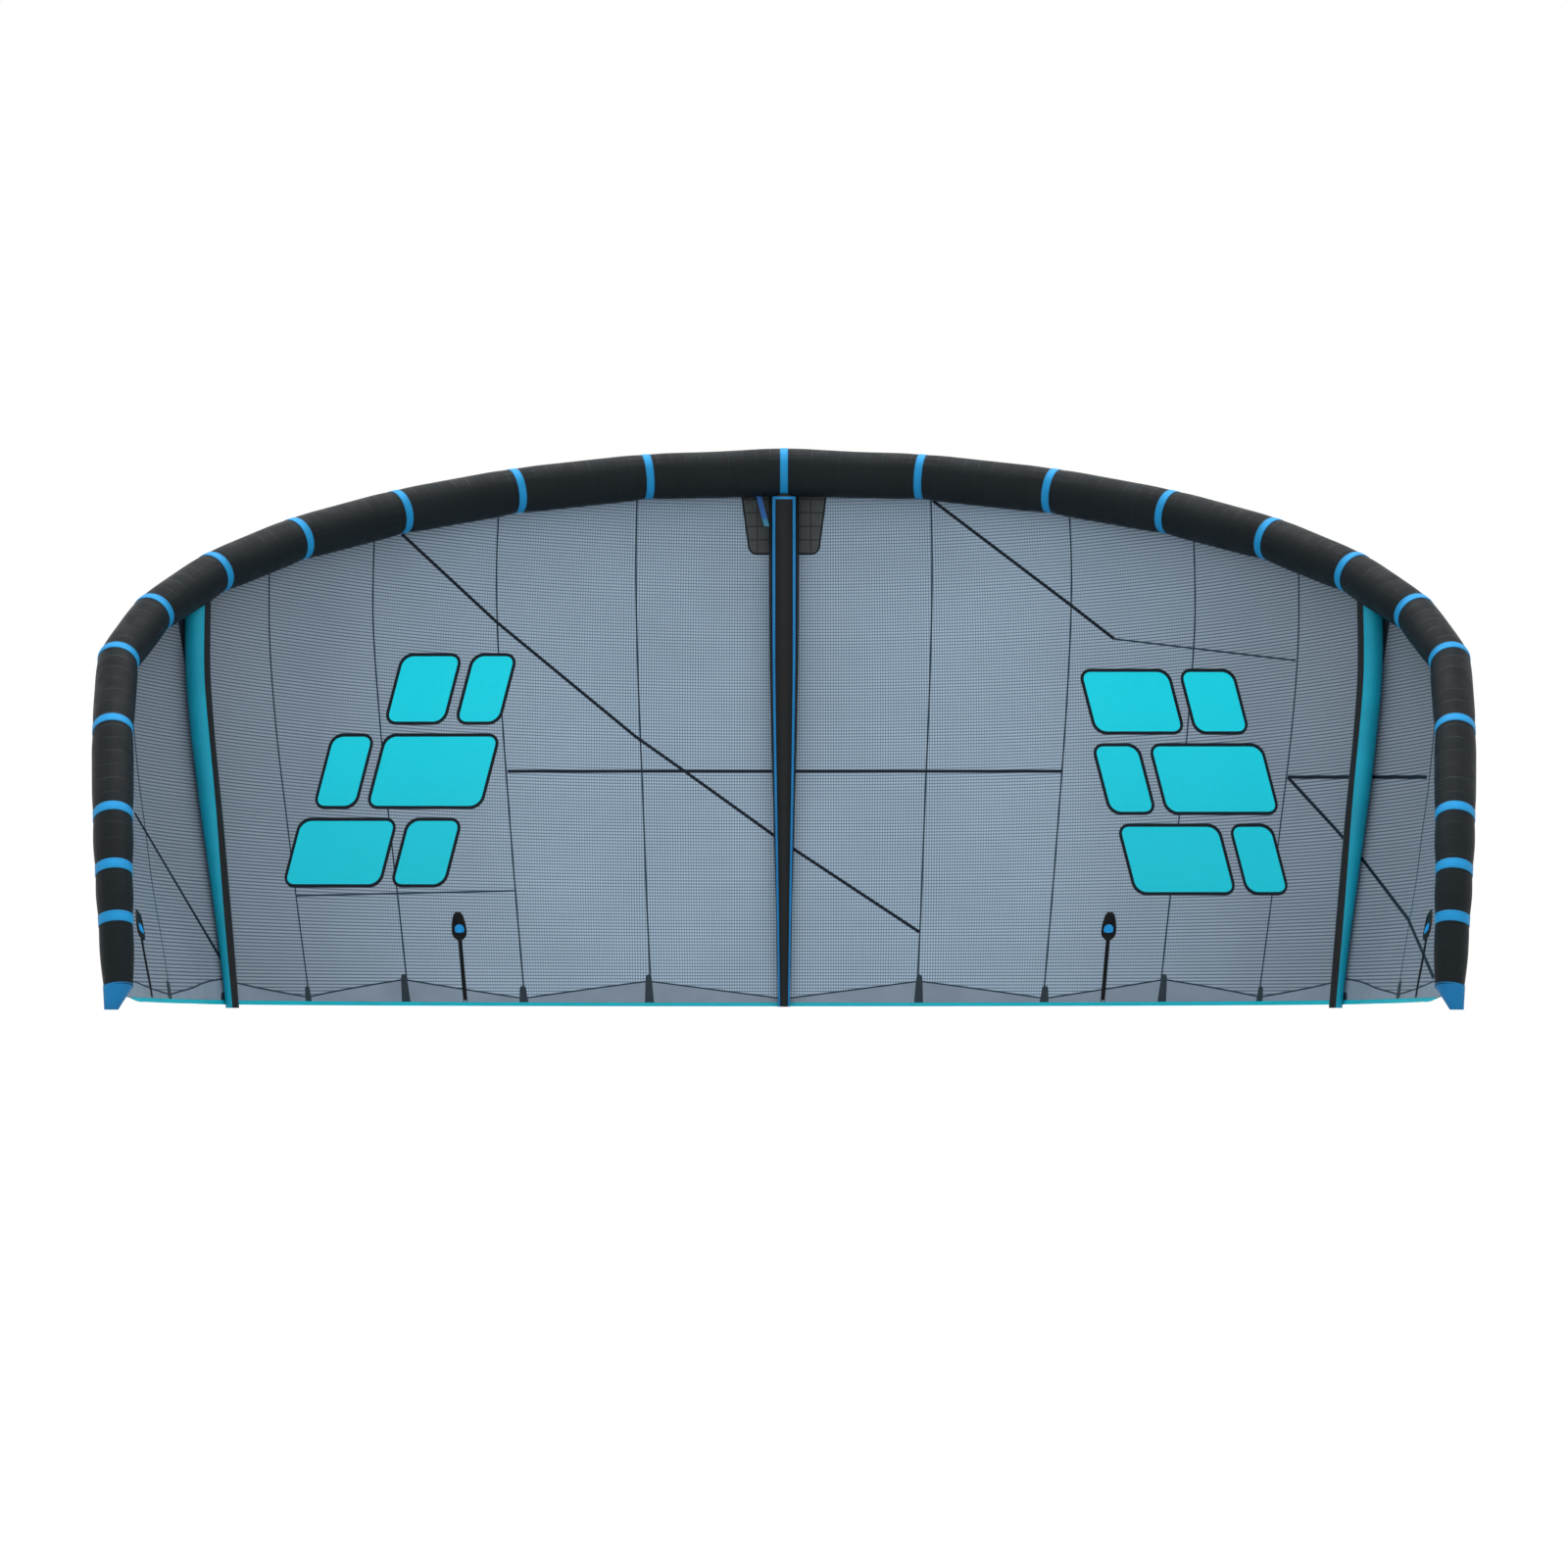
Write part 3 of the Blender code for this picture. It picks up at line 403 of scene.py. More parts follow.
def ripstopCloth(name, cloth, thread, outer):
    # Coated nylon, calendered smooth, with thicker threads in a grid of 9 by 10 mm: a dull
    # sheen, lying threads a little bolder, and clouds where the coating varies. Towards the
    # sides it turns darker and greyer: painted shade, where the cloth faces away from the light
    finish, tree, shader = startFinish(name, 0.52, IOR=1.45, Specular_IOR_Level=0.35)
    parts, place = readUv(tree)
    standing = threadLines(tree, parts.outputs[0], 0.0088, 0.0040)
    lying = threadLines(tree, parts.outputs[1], 0.0102, 0.0048)
    sideways = addNode(tree, "SeparateXYZ", inputs={0: place.outputs["Object"]})
    away = addNode(tree, "Math", {"operation": "ABSOLUTE"}, {0: sideways.outputs[0]})
    worn = addNode(tree, "MapRange", inputs={0: away.outputs[0], 1: 0.5, 2: 1.6, 3: 0.95,
                                             4: 0.30})
    pale = addNode(tree, "Math", {"operation": "MULTIPLY"}, {0: standing, 1: worn.outputs[0]})
    grid = addNode(tree, "Math", {"operation": "MAXIMUM"}, {0: pale.outputs[0], 1: lying})
    # Painted shade: cloth and threads blend to the darker, greyer outer colours towards the sides
    fade = addNode(tree, "MapRange", {"interpolation_type": "SMOOTHSTEP"},
                   {0: away.outputs[0], 1: 0.55, 2: 2.1, 3: 0.0, 4: 1.0})
    middle = layOver(tree, grid.outputs[0], hexColour(cloth), hexColour(thread))
    paintedSideShade = layOver(tree, grid.outputs[0], hexColour(outer[0]), hexColour(outer[1]))
    base = layOver(tree, fade.outputs[0], middle, paintedSideShade)
    tree.links.new(clouded(tree, place, base, 2.6, 0.95, 1.04), shader.inputs["Base Color"])
    tree.links.new(blotches(tree, place, 9.0, 0.46, 0.60), shader.inputs["Roughness"])
    height = addNode(tree, "Math", {"operation": "ADD"},
                     {0: grid.outputs[0], 1: weave(tree, place, 0.0011, 0.18)})
    addRelief(tree, shader, height.outputs[0], 0.00020)
    return finish


def sailCloth(name, colour, paintedThreadGlint="", tickSpacing=0.048, threadSpacing=0.0012, roughness=0.5,
              sheen=0.2):
    # Tight woven polyester, pressed and coated: fine threads, soft gloss, and a faint
    # pale filler thread across the length every 48 mm, carrying a painted glint: drawn much paler
    # where the cloth faces up, towards the light from above
    finish, tree, shader = startFinish(name, roughness, IOR=1.5, Specular_IOR_Level=sheen)
    parts, place = readUv(tree)
    base = clouded(tree, place, hexColour(colour), 6.0, 0.90, 1.10)
    height = weave(tree, place, threadSpacing, 0.5)
    if paintedThreadGlint:
        line = threadLines(tree, parts.outputs[1], tickSpacing, 0.0030)
        # Painted glint: the pale ticks show mostly where the cloth faces up, as if lit from above
        facing = addNode(tree, "SeparateXYZ", inputs={0: place.outputs["Normal"]})
        upward = addNode(tree, "MapRange", {"interpolation_type": "SMOOTHSTEP"},
                         {0: facing.outputs[2], 1: 0.30, 2: 0.85, 3: 0.04, 4: 0.45})
        patchy = addNode(tree, "Math", {"operation": "MULTIPLY"},
                         {0: upward.outputs[0], 1: blotches(tree, place, 14.0, 0.1, 1.0, 5.0)})
        paintedGlintLines = addNode(tree, "Math", {"operation": "MULTIPLY"}, {0: line, 1: patchy.outputs[0]})
        base = layOver(tree, paintedGlintLines.outputs[0], base, hexColour(paintedThreadGlint))
        height = addNode(tree, "Math", {"operation": "ADD"}, {0: height, 1: line}).outputs[0]
    tree.links.new(base, shader.inputs["Base Color"])
    tree.links.new(blotches(tree, place, 21.0, roughness - 0.07, roughness + 0.08),
                   shader.inputs["Roughness"])
    addRelief(tree, shader, height, 0.00012)
    return finish


def seamTape(name, colour, stitch, width, inset=0.0035, roughness=0.42, paintedHighlight=""):
    # Woven polyester tape with a row of stitches along each side. UV runs along and across.
    finish, tree, shader = startFinish(name, roughness, IOR=1.5, Specular_IOR_Level=0.15)
    parts, place = readUv(tree)
    side = addNode(tree, "Math", {"operation": "ABSOLUTE"}, {0: parts.outputs[1]})
    off = addNode(tree, "Math", {"operation": "SUBTRACT"},
                  {0: side.outputs[0], 1: width / 2 - inset})
    off = addNode(tree, "Math", {"operation": "ABSOLUTE"}, {0: off.outputs[0]})
    row = addNode(tree, "MapRange", {"interpolation_type": "SMOOTHSTEP"},
                  {0: off.outputs[0], 1: 0.0003, 2: 0.0008, 3: 1.0, 4: 0.0})
    dash = threadLines(tree, parts.outputs[0], 0.0045, 0.0052)
    sewn = addNode(tree, "Math", {"operation": "MULTIPLY"}, {0: row.outputs[0], 1: dash})
    base = clouded(tree, place, hexColour(colour), 11.0, 0.92, 1.06)
    if paintedHighlight:
        # Painted highlight: lighter where the tape faces up, towards the light from above
        facing = addNode(tree, "SeparateXYZ", inputs={0: place.outputs["Normal"]})
        paintedHighlightMask = addNode(tree, "MapRange", {"interpolation_type": "SMOOTHSTEP"},
                         {0: facing.outputs[2], 1: 0.15, 2: 0.95, 3: 0.0, 4: 1.0})
        base = layOver(tree, paintedHighlightMask.outputs[0], base, hexColour(paintedHighlight))
    base = layOver(tree, sewn.outputs[0], base, hexColour(stitch))
    tree.links.new(base, shader.inputs["Base Color"])
    height = addNode(tree, "Math", {"operation": "SUBTRACT"},
                     {0: weave(tree, place, 0.0010, 0.25), 1: row.outputs[0]})
    addRelief(tree, shader, height.outputs[0], 0.00018)
    return finish


def printedCloth(name, top, bottom, high, low):
    # Light spinnaker nylon, bright cyan higher up and fading to teal lower down, with a fine check
    finish, tree, shader = startFinish(name, 0.5, IOR=1.45, Specular_IOR_Level=0.2)
    parts, place = readUv(tree)
    standing = threadLines(tree, parts.outputs[0], 0.0070, 0.0022)
    lying = threadLines(tree, parts.outputs[1], 0.0070, 0.0030)
    grid = addNode(tree, "Math", {"operation": "MAXIMUM"}, {0: standing, 1: lying})
    height = addNode(tree, "SeparateXYZ", inputs={0: place.outputs["Object"]})
    fade = addNode(tree, "MapRange", {"interpolation_type": "SMOOTHSTEP"},
                   {0: height.outputs[2], 1: low, 2: high, 3: 0.0, 4: 1.0})
    heightBlend = layOver(tree, fade.outputs[0], hexColour(bottom), hexColour(top))
    soft = addNode(tree, "Math", {"operation": "MULTIPLY"}, {0: grid.outputs[0], 1: 0.22})
    base = layOver(tree, soft.outputs[0], heightBlend, hexColour("#14485a"))
    tree.links.new(base, shader.inputs["Base Color"])
    addRelief(tree, shader, grid.outputs[0], 0.00012)
    return finish


def griddedLaminate(name, cloth, thread):
    # Dark scrim laminate under a matt film: black yarns 91 mm apart down the cloth and
    # 45 mm apart across it
    finish, tree, shader = startFinish(name, 0.55, IOR=1.5)
    parts, place = readUv(tree)
    lines = [threadLines(tree, parts.outputs[i], gap, 0.0062)
             for i, gap in ((0, 0.091), (1, 0.0455))]
    grid = addNode(tree, "Math", {"operation": "MAXIMUM"}, {0: lines[0], 1: lines[1]})
    base = clouded(tree, place, hexColour(cloth), 30.0, 0.86, 1.12)
    base = layOver(tree, grid.outputs[0], base, hexColour(thread))
    tree.links.new(base, shader.inputs["Base Color"])
    height = addNode(tree, "Math", {"operation": "ADD"},
                     {0: grid.outputs[0], 1: weave(tree, place, 0.0016, 0.3)})
    addRelief(tree, shader, height.outputs[0], 0.00018)
    return finish


def wovenWebbing(name, colour, dark):
    # Heavy nylon webbing: ribs across the tape every 2 mm
    finish, tree, shader = startFinish(name, 0.6, IOR=1.5)
    parts, place = readUv(tree)
    ribs = threadLines(tree, parts.outputs[1], 0.0020, 0.0016)
    soft = addNode(tree, "Math", {"operation": "MULTIPLY"}, {0: ribs, 1: 0.35})
    base = layOver(tree, soft.outputs[0], hexColour(colour), hexColour(dark))
    tree.links.new(base, shader.inputs["Base Color"])
    addRelief(tree, shader, ribs, 0.00025)
    return finish


def mouldedPlastic(name, colour, roughness=0.38, grain=0.0006):
    # Injection moulded polyurethane: an even fine spark grain, slightly worn in patches
    finish, tree, shader = startFinish(name, roughness, IOR=1.5, Specular_IOR_Level=0.15)
    place = addNode(tree, "TexCoord")
    base = clouded(tree, place, hexColour(colour), 60.0, 0.88, 1.10)
    tree.links.new(base, shader.inputs["Base Color"])
    tree.links.new(blotches(tree, place, 90.0, roughness - 0.08, roughness + 0.10),
                   shader.inputs["Roughness"])
    grains = addNode(tree, "TexNoise", inputs={"Vector": place.outputs["Object"],
                                               "Scale": 1 / grain, "Detail": 2.0})
    addRelief(tree, shader, grains.outputs[0], 0.00006)
    return finish


def bladderFilm(name):
    # Blown polyurethane film: milky, soft gloss, a little wrinkled
    finish, tree, shader = startFinish(name, 0.3, IOR=1.5, Alpha=0.75)
    place = addNode(tree, "TexCoord")
    milky = layOver(tree, blotches(tree, place, 8.0, 0.0, 1.0), hexColour("#c3cacc"),
                    hexColour("#a9b3b6"))
    tree.links.new(milky, shader.inputs["Base Color"])
    wrinkles = addNode(tree, "TexNoise", inputs={"Vector": place.outputs["Object"],
                                                 "Scale": 40.0, "Detail": 4.0})
    addRelief(tree, shader, wrinkles.outputs[0], 0.0008)
    return finish


tapeWidths = {"seam": 0.0055, "thin": 0.0056, "load": 0.0105, "piping": 0.0110, "edge": 0.0120}
finishes = {
    # The sleeve's pale ticks carry a painted glint where the tube faces up
    "sleeve": sailCloth("charcoalSailCloth", "#131a1e", paintedThreadGlint="#5c6367", roughness=0.45,
                        sheen=0.11),
    # The band is painted lighter where it faces up: a painted highlight
    "band": seamTape("blueSeamTape", "#1b88c0", "#15699c", wing["bandWidth"], paintedHighlight="#28a6ee"),
    "tip": sailCloth("blueSailCloth", "#1c72a8", sheen=0.1),
    # The last pair of colours is painted shade for the sides of the canopy
    "canopy": ripstopCloth("greyRipstop", "#b6c9d9", "#687e93", ("#818a94", "#4a5765")),
    "plain": sailCloth("greyEdgeCloth", "#818f9e"),
    "seam": seamTape("slateSeam", "#2a3c4b", "#22323f", tapeWidths["seam"], 0.0012),
    "load": seamTape("darkLoadTape", "#0b1622", "#1d2c3a", tapeWidths["load"], 0.0026),
    "piping": seamTape("blackPiping", "#0a131c", "#182634", tapeWidths["piping"], 0.0028),
    "print": printedCloth("cyanPanelCloth", "#15e8fb", "#1fd2e6", 1.15, 0.35),
    "dart": sailCloth("darkDartCloth", "#28343d"),
    "edge": seamTape("cyanBinding", "#14bccd", "#0d8d9b", tapeWidths["edge"], 0.0030),
    "strut": sailCloth("blackStrutCloth", "#16191b"),
    "stripe": sailCloth("blueStripeCloth", "#2a86c4"),
    "sideStrut": sailCloth("tealStrutCloth", "#129ab6", roughness=0.38),
    "patch": griddedLaminate("darkGridLaminate", "#343b3d", "#0d1012"),
    "webbing": wovenWebbing("blueWebbing", "#0e5ba2", "#0a3c6c"),
    "webbingEnd": wovenWebbing("tealWebbing", "#2b7c98", "#225a70"),
    "cap": mouldedPlastic("blackCapPlastic", "#060a0e", 0.42),
    "inset": mouldedPlastic("blueCapPlastic", "#1c8fd4", 0.35),
    "batten": mouldedPlastic("blackBattenStrip", "#05080a", 0.45, 0.0010),
    "valve": mouldedPlastic("darkValvePlastic", "#3a4044", 0.4),
    "plug": mouldedPlastic("blackValvePlastic", "#15181b", 0.4),
    "stopper": mouldedPlastic("blueStopperPlastic", "#2f93dc", 0.35),
    "film": bladderFilm("milkyBladderFilm"),
}
print("finishes made")


# Modelling helpers
def layGrid(name, across, down, surface, uvAt=None, side=1, joined=False):
    # A grid laid on a surface. Faces point along across x down, on both sides of the wing.
    bpy.ops.object.select_all(action="DESELECT")
    bpy.ops.mesh.primitive_grid_add(x_subdivisions=len(across) - 1,
                                    y_subdivisions=len(down) - 1, size=1)
    piece = bpy.context.object
    piece.name = piece.data.name = name
    flat = []
    for vertex in piece.data.vertices:
        u = across[round((vertex.co.x + 0.5) * (len(across) - 1))]
        v = down[round((vertex.co.y + 0.5) * (len(down) - 1))]
        point = surface(u, v)
        vertex.co = (point[0] * side, point[1], point[2])
        flat.append(uvAt(u, v) if uvAt else (u, v))
    for loop, corner in zip(piece.data.loops, piece.data.uv_layers.active.data):
        corner.uv = flat[loop.vertex_index]
    bpy.ops.object.mode_set(mode="EDIT")
    bpy.ops.mesh.select_all(action="SELECT")
    if joined:
        bpy.ops.mesh.remove_doubles(threshold=0.00002)
    if side < 0:
        bpy.ops.mesh.flip_normals()
    bpy.ops.object.mode_set(mode="OBJECT")
    bpy.ops.object.shade_smooth()
    return piece


def thicken(piece, wall, offset=-1):
    # -1 puts the wall behind the faces and 1 in front of them
    bpy.context.view_layer.objects.active = piece
    bpy.ops.object.modifier_add(type="SOLIDIFY")
    solid = piece.modifiers[-1]
    solid.thickness, solid.offset = wall, offset
    bpy.ops.object.modifier_apply(modifier=solid.name)
    bpy.ops.object.shade_smooth_by_angle(angle=radians(40))
    return piece


def closeHoles(piece, angle):
    bpy.ops.object.mode_set(mode="EDIT")
    bpy.ops.mesh.select_all(action="DESELECT")
    bpy.ops.mesh.select_non_manifold()
    bpy.ops.mesh.fill_holes(sides=0)
    bpy.ops.mesh.select_all(action="SELECT")
    bpy.ops.mesh.normals_make_consistent(inside=False)
    bpy.ops.object.mode_set(mode="OBJECT")
    bpy.ops.object.shade_smooth_by_angle(angle=radians(angle))
    return piece


def turnFacesOver():
    bpy.ops.object.mode_set(mode="EDIT")
    bpy.ops.mesh.select_all(action="SELECT")
    bpy.ops.mesh.flip_normals()
    bpy.ops.object.mode_set(mode="OBJECT")


def dress(piece, finish, body="wing", stands=()):
    piece.data.materials.clear()
    piece.data.materials.append(finishes[finish])
    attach(piece, body)
    if stands:
        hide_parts(*stands)
    return piece


def cutFlat(piece, width, length, held="stretched", restsOn=(), withPieces=()):
    # Gives the piece back as it is
    return piece


def sideWord(side):
    return "right" if side > 0 else "left"


# Leading edge
sleeve = {"wall": 0.0006, "peak": 0.008, "peakReach": 0.28, "fullness": 0.0030,
          "fullReach": 0.085, "pucker": 0.0011, "puckerReach": 0.045, "hemReach": 0.008,
          "gathers": 19, "around": 96, "ringStep": 0.0125}


def peakAt(station, turn):
    # The tube's middle seam is drawn to a slight peak on top
    near = max(1 - station * lengths[0] / sleeve["peakReach"], 0)
    return sleeve["peak"] * near**1.5 * (0.5 - 0.5 * cos(turn))**2


def sleeveGrow(station, turn):
    # Held in by the tapes and fuller between them, with small gathers beside the seams
    k = min(int(station), wing["tip"] - 1)
    along = (station - k) * lengths[k]
    fromSeam = max(min(along, lengths[k] - along) - wing["bandWidth"] / 2, 0)
    rise = 1 - (1 - min(fromSeam / sleeve["fullReach"], 1)) ** 2
    inner = 0.35 + 0.65 * (0.5 - 0.5 * sin(turn))
    wobble = noise.noise(Vector((cos(turn) * 1.4, sin(turn) * 1.4, round(station) * 3.7)))
    gather = sin(turn * sleeve["gathers"] + 5 * wobble) * exp(-fromSeam / sleeve["puckerReach"])
    gather *= min(fromSeam / sleeve["hemReach"], 1)
    pucker = sleeve["pucker"] * inner * gather * (0.5 + wobble)
    return sleeve["fullness"] * rise + pucker + peakAt(station, turn)


def ringStations():
    places = [0.0]
    for k, length in enumerate(lengths):
        count = max(round(length / sleeve["ringStep"]), 6)
        places += [k + i / count for i in range(1, count + 1)]
    return places


def lengthAt(station):
    k = min(int(station), wing["tip"] - 1)
    return sum(lengths[:k]) + (station - k) * lengths[k]


tubeTurns = steps(0, 2 * pi, sleeve["around"])


def makeSleeves():
    for side in (-1, 1):
        name = "leadingEdgeSleeve_" + sideWord(side)
        piece = layGrid(name, tubeTurns, ringStations(),
                        lambda turn, station: onTube(station, turn, sleeveGrow(station, turn)),
                        lambda turn, station: (turn * radii[0], lengthAt(station)), side, True)
        thicken(piece, sleeve["wall"])
        dress(piece, "sleeve",
              stands=["leading_edge_sleeve_" + sideWord(side)])
        cutFlat(piece, 2 * pi * radii[0], lengthAt(wing["tip"]), restsOn=["leadingEdgeBladder"])


band = {"lift": 0.0003, "wall": 0.0009, "hem": 0.0004, "rows": 12}


def makeBand(joint, side):
    half = wing["bandWidth"] / 2

    def stationOf(v):
        # v runs across the tape, in metres
        if joint == 0:
            return v / lengths[0]
        return joint + v / (lengths[joint] if v > 0 else lengths[joint - 1])

    def surface(turn, v):
        edge = abs(v) / half
        raised = band["lift"] + band["wall"] + band["hem"] * ease((edge - 0.5) / 0.35)
        raised -= (band["hem"] + band["wall"]) * ease((edge - 0.9) / 0.1) * 0.7
        station = stationOf(v)
        point = onTube(abs(station), turn, raised + peakAt(abs(station), turn))
        return mirrored(point) if station < 0 else point

    rows = sorted({round(half * sin(pi / 2 * t), 6) for t in steps(-1, 1, band["rows"])})
    name = f"seamBand_{sideWord(side)}_{joint:02d}" if joint else "seamBand_middle"
    node = f"seam_band_{sideWord(side)}_{joint:02d}" if joint else "seam_band_centre"
    piece = layGrid(name, tubeTurns, rows, surface,
                    lambda turn, v: (turn * radii[joint], v), side, True)
    thicken(piece, band["wall"])
    dress(piece, "band", stands=[node])
    girth = 2 * pi * radii[joint]
    return cutFlat(piece, wing["bandWidth"] * 1.02, girth * 1.02)


tipCover = {"footShare": 0.46, "wall": 0.0006, "rows": 14, "grow": 0.0012, "overlap": 0.004,
            "flatLength": 0.115}


def makeTipCover(side):
    tangent = frames[wing["tip"]][0]

    def topPoint(turn):
        return onJoint(wing["tip"], turn, tipCover["grow"]) - tangent * tipCover["overlap"]

    ring = [topPoint(turn) for turn in tubeTurns]
    onFloor = [p - tangent * (p.z / tangent.z) for p in ring]
    outerX = max(p.x for p in onFloor)
    middleY = sum(p.y for p in onFloor) / len(onFloor)

    def footPoint(p, height, share):
        return Vector((outerX + (p.x - outerX) * share, middleY + (p.y - middleY) * share, height))

    def surface(turn, v):
        # 0 to 1 runs down the cone, 1 to 2 over the sole to its middle
        top = topPoint(turn)
        low = top - tangent * (top.z / tangent.z)
        foot = footPoint(low, 0, tipCover["footShare"])
        if v <= 1:
            point = top.lerp(foot, v)
            point.z = max(point.z, 0)
            return point
        heart = Vector((outerX - radii[-1] * tipCover["footShare"], middleY, 0))
        return foot.lerp(heart, v - 1)

    rows = steps(0, 1, tipCover["rows"]) + [1.25, 1.5, 1.75, 2]
    name = "tipCover_" + sideWord(side)
    piece = layGrid(name, tubeTurns, rows, surface,
                    lambda turn, v: (turn * radii[-1], v * wing["tipHeight"]), side, True)
    thicken(piece, tipCover["wall"])
    dress(piece, "tip", stands=["tip_cover_" + sideWord(side)])
    return cutFlat(piece, 2 * pi * radii[-1] * 1.03, tipCover["flatLength"])


bladder = {"gap": 0.0005, "pinch": 0.02, "rings": 240, "around": 32}


def makeLeadingEdgeBladder():
    skin = -sleeve["wall"] - bladder["gap"]

    def surface(turn, v):
        # Pinched shut a little before each tip
        station = min(abs(v), wing["tip"] - bladder["pinch"])
        closing = min((wing["tip"] - abs(v)) / bladder["pinch"], 1)
        k = min(int(station), wing["tip"] - 1)
        full = (radii[k] + (radii[k + 1] - radii[k]) * (station - k) + skin) * (1 - closing)
        point = onTube(station, turn, skin - full)
        return mirrored(point) if v < 0 else point

    places = steps(-wing["tip"], wing["tip"], bladder["rings"])
    piece = layGrid("leadingEdgeBladder", steps(0, 2 * pi, bladder["around"]), places, surface,
                    lambda turn, v: (turn * radii[0], v), 1, True)
    bpy.ops.object.mode_set(mode="EDIT")
    bpy.ops.mesh.normals_make_consistent(inside=False)
    bpy.ops.object.mode_set(mode="OBJECT")
    return dress(piece, "film", stands=["leading_edge_bladder"])


makeLeadingEdgeBladder()
makeSleeves()
makeBand(0, 1)
for side in (-1, 1):
    for joint in range(1, wing["tip"]):
        makeBand(joint, side)
    makeTipCover(side)
print("leading edge made")


# Canopy
canopy = {"wall": 0.0007, "cell": 0.016}
levels = {}


def uvOnCloth(station, share):
    # Level threads: height up the cloth, and the way along it at that height
    near = abs(station)
    key = min(round(near, 2), wing["tip"])
    if key not in levels:
        across = clothFrame(key, 0.5)[0]
        levels[key] = clothMiddle(key, 0.5), Vector((across.x, across.y, 0)).normalized()
    point, (middle, level) = clothMiddle(near, share), levels[key]
    return girthAt(key) + (point - middle).dot(level), point.z


girthPlaces = steps(0, wing["tip"], 60)
girthSums = [0.0]
for a, b in zip(girthPlaces, girthPlaces[1:]):
    walk = clothMiddle(b, 0.5) - clothMiddle(a, 0.5)
    girthSums.append(girthSums[-1] + hypot(walk.x, walk.y))


def girthAt(station):
    cells = len(girthPlaces) - 1
    i = min(int(station / wing["tip"] * cells), cells - 1)
    part = (station - girthPlaces[i]) / (girthPlaces[i + 1] - girthPlaces[i])
    return girthSums[i] + (girthSums[i + 1] - girthSums[i]) * part


def makePanel(index, side):
    first, last = wing["panelStations"][index], wing["panelStations"][index + 1]
    widest = max((onCloth(last, r) - onCloth(first, r)).length for r in (0, 0.5, 1))
    longest = max(chordAt(first), chordAt(last))
    across = steps(0, 1, round(widest / canopy["cell"]))
    down = steps(0, 1, round(longest / canopy["cell"]))
    label = "tip" if last == wing["tip"] else str(index + 1)
    name = f"canopy_{sideWord(side)}_{label}"

    def place(u, share):
        return seamAt(first, share) * (1 - u) + seamAt(last, share) * u

    piece = layGrid("canopyPanel_" + sideWord(side) + "_" + label, across, down,
                    lambda u, share: onCloth(place(u, share), share),
                    lambda u, share: uvOnCloth(place(u, share), share), side)
    thicken(piece, canopy["wall"], 1)
    dress(piece, "canopy", stands=[name])
    return piece, widest, longest


def ribbon(name, line, width, finish, low, high, columns=2, closed=False, widthAt=None,
           body="wing", stands=()):
    # A tape through the cloth, showing on both sides, along a line of cloth places
    places = [onCloth(*spot) for spot in line]
    normals = [clothOut(*spot) for spot in line]
    count = len(line)
    walked = [0.0]
    for a, b in zip(places, places[1:]):
        walked.append(walked[-1] + (b - a).length)

    def sideAt(i):
        if closed:
            before, after = places[(i - 1) % (count - 1)], places[(i + 1) % (count - 1)]
        else:
            before, after = places[max(i - 1, 0)], places[min(i + 1, count - 1)]
        return (after - before).normalized().cross(normals[i]).normalized()

    sides = [sideAt(i) for i in range(count)]

    def surface(u, v):
        i = int(round(v))
        wide = width * (widthAt(walked[i] / walked[-1]) if widthAt else 1)
        return places[i] + sides[i] * u * wide + normals[i] * low

    piece = layGrid(name, steps(-0.5, 0.5, columns), list(range(count)), surface,
                    lambda u, v: (walked[int(round(v))], u * width), 1, closed)
    thicken(piece, high - low, 1)
    dress(piece, finish, body, stands)
    piece["tapeLength"] = walked[-1]
    return piece


def pictureLine(points, spacing=9):
    # Places on the cloth along straight runs between picture columns and rows
    line = []
    for (x0, y0), (x1, y1) in zip(points, points[1:]):
        count = max(round(hypot(x1 - x0, y1 - y0) / spacing), 1)
        for i in range(count):
            t = i / count
            line.append(clothAt(x0 + (x1 - x0) * t, y0 + (y1 - y0) * t))
    return line + [clothAt(*points[-1])]


panelWork = {}
for side in (-1, 1):
    for index in range(len(wing["panelStations"]) - 1):
        piece, widest, longest = makePanel(index, side)
        panelWork[(side, index)] = [piece, widest, longest, []]
print("canopy panels made")

seamLine = {"low": -0.0002, "high": 0.0012,
            "tipShares": (0, 0.25, 0.37, 0.50, 0.62, 0.79, 0.95, 1),
            "tipStations": (6.30, 6.49, 6.67, 6.90, 7.22, 7.66, 8.10, 8.22)}


def tipSeamAt(share):
    return smoothThrough(seamLine["tipShares"], seamLine["tipStations"], share)


def makeSeams(side):
    for index in range(1, 6):
        line = [(side * (tipSeamAt(share) if index == 5 else seamAt(index, share)), share)
                for share in steps(0.0, 1, 90)]
        piece = ribbon(f"panelSeam_{sideWord(side)}_{index}", line, tapeWidths["seam"], "seam",
                       seamLine["low"], seamLine["high"])
        panelWork[(side, index)][3].append(piece)


edgeCloth = {"stations": (0, 1, 2, 3, 4, 5.25, 8.15, 12),
             "heights": (0.014, 0.072, 0.014, 0.072, 0.014, 0.064, 0.014, 0.072),
             "low": -0.0002, "high": 0.0011, "seamWidth": 0.005, "seamLow": -0.0003,
             "seamHigh": 0.0013}


def edgeHeight(station):
    places, heights = edgeCloth["stations"], edgeCloth["heights"]
    i = max(k for k in range(len(places) - 1) if places[k] <= station or k == 0)
    t = (station - places[i]) / (places[i + 1] - places[i])
    return heights[i] + (heights[i + 1] - heights[i]) * t


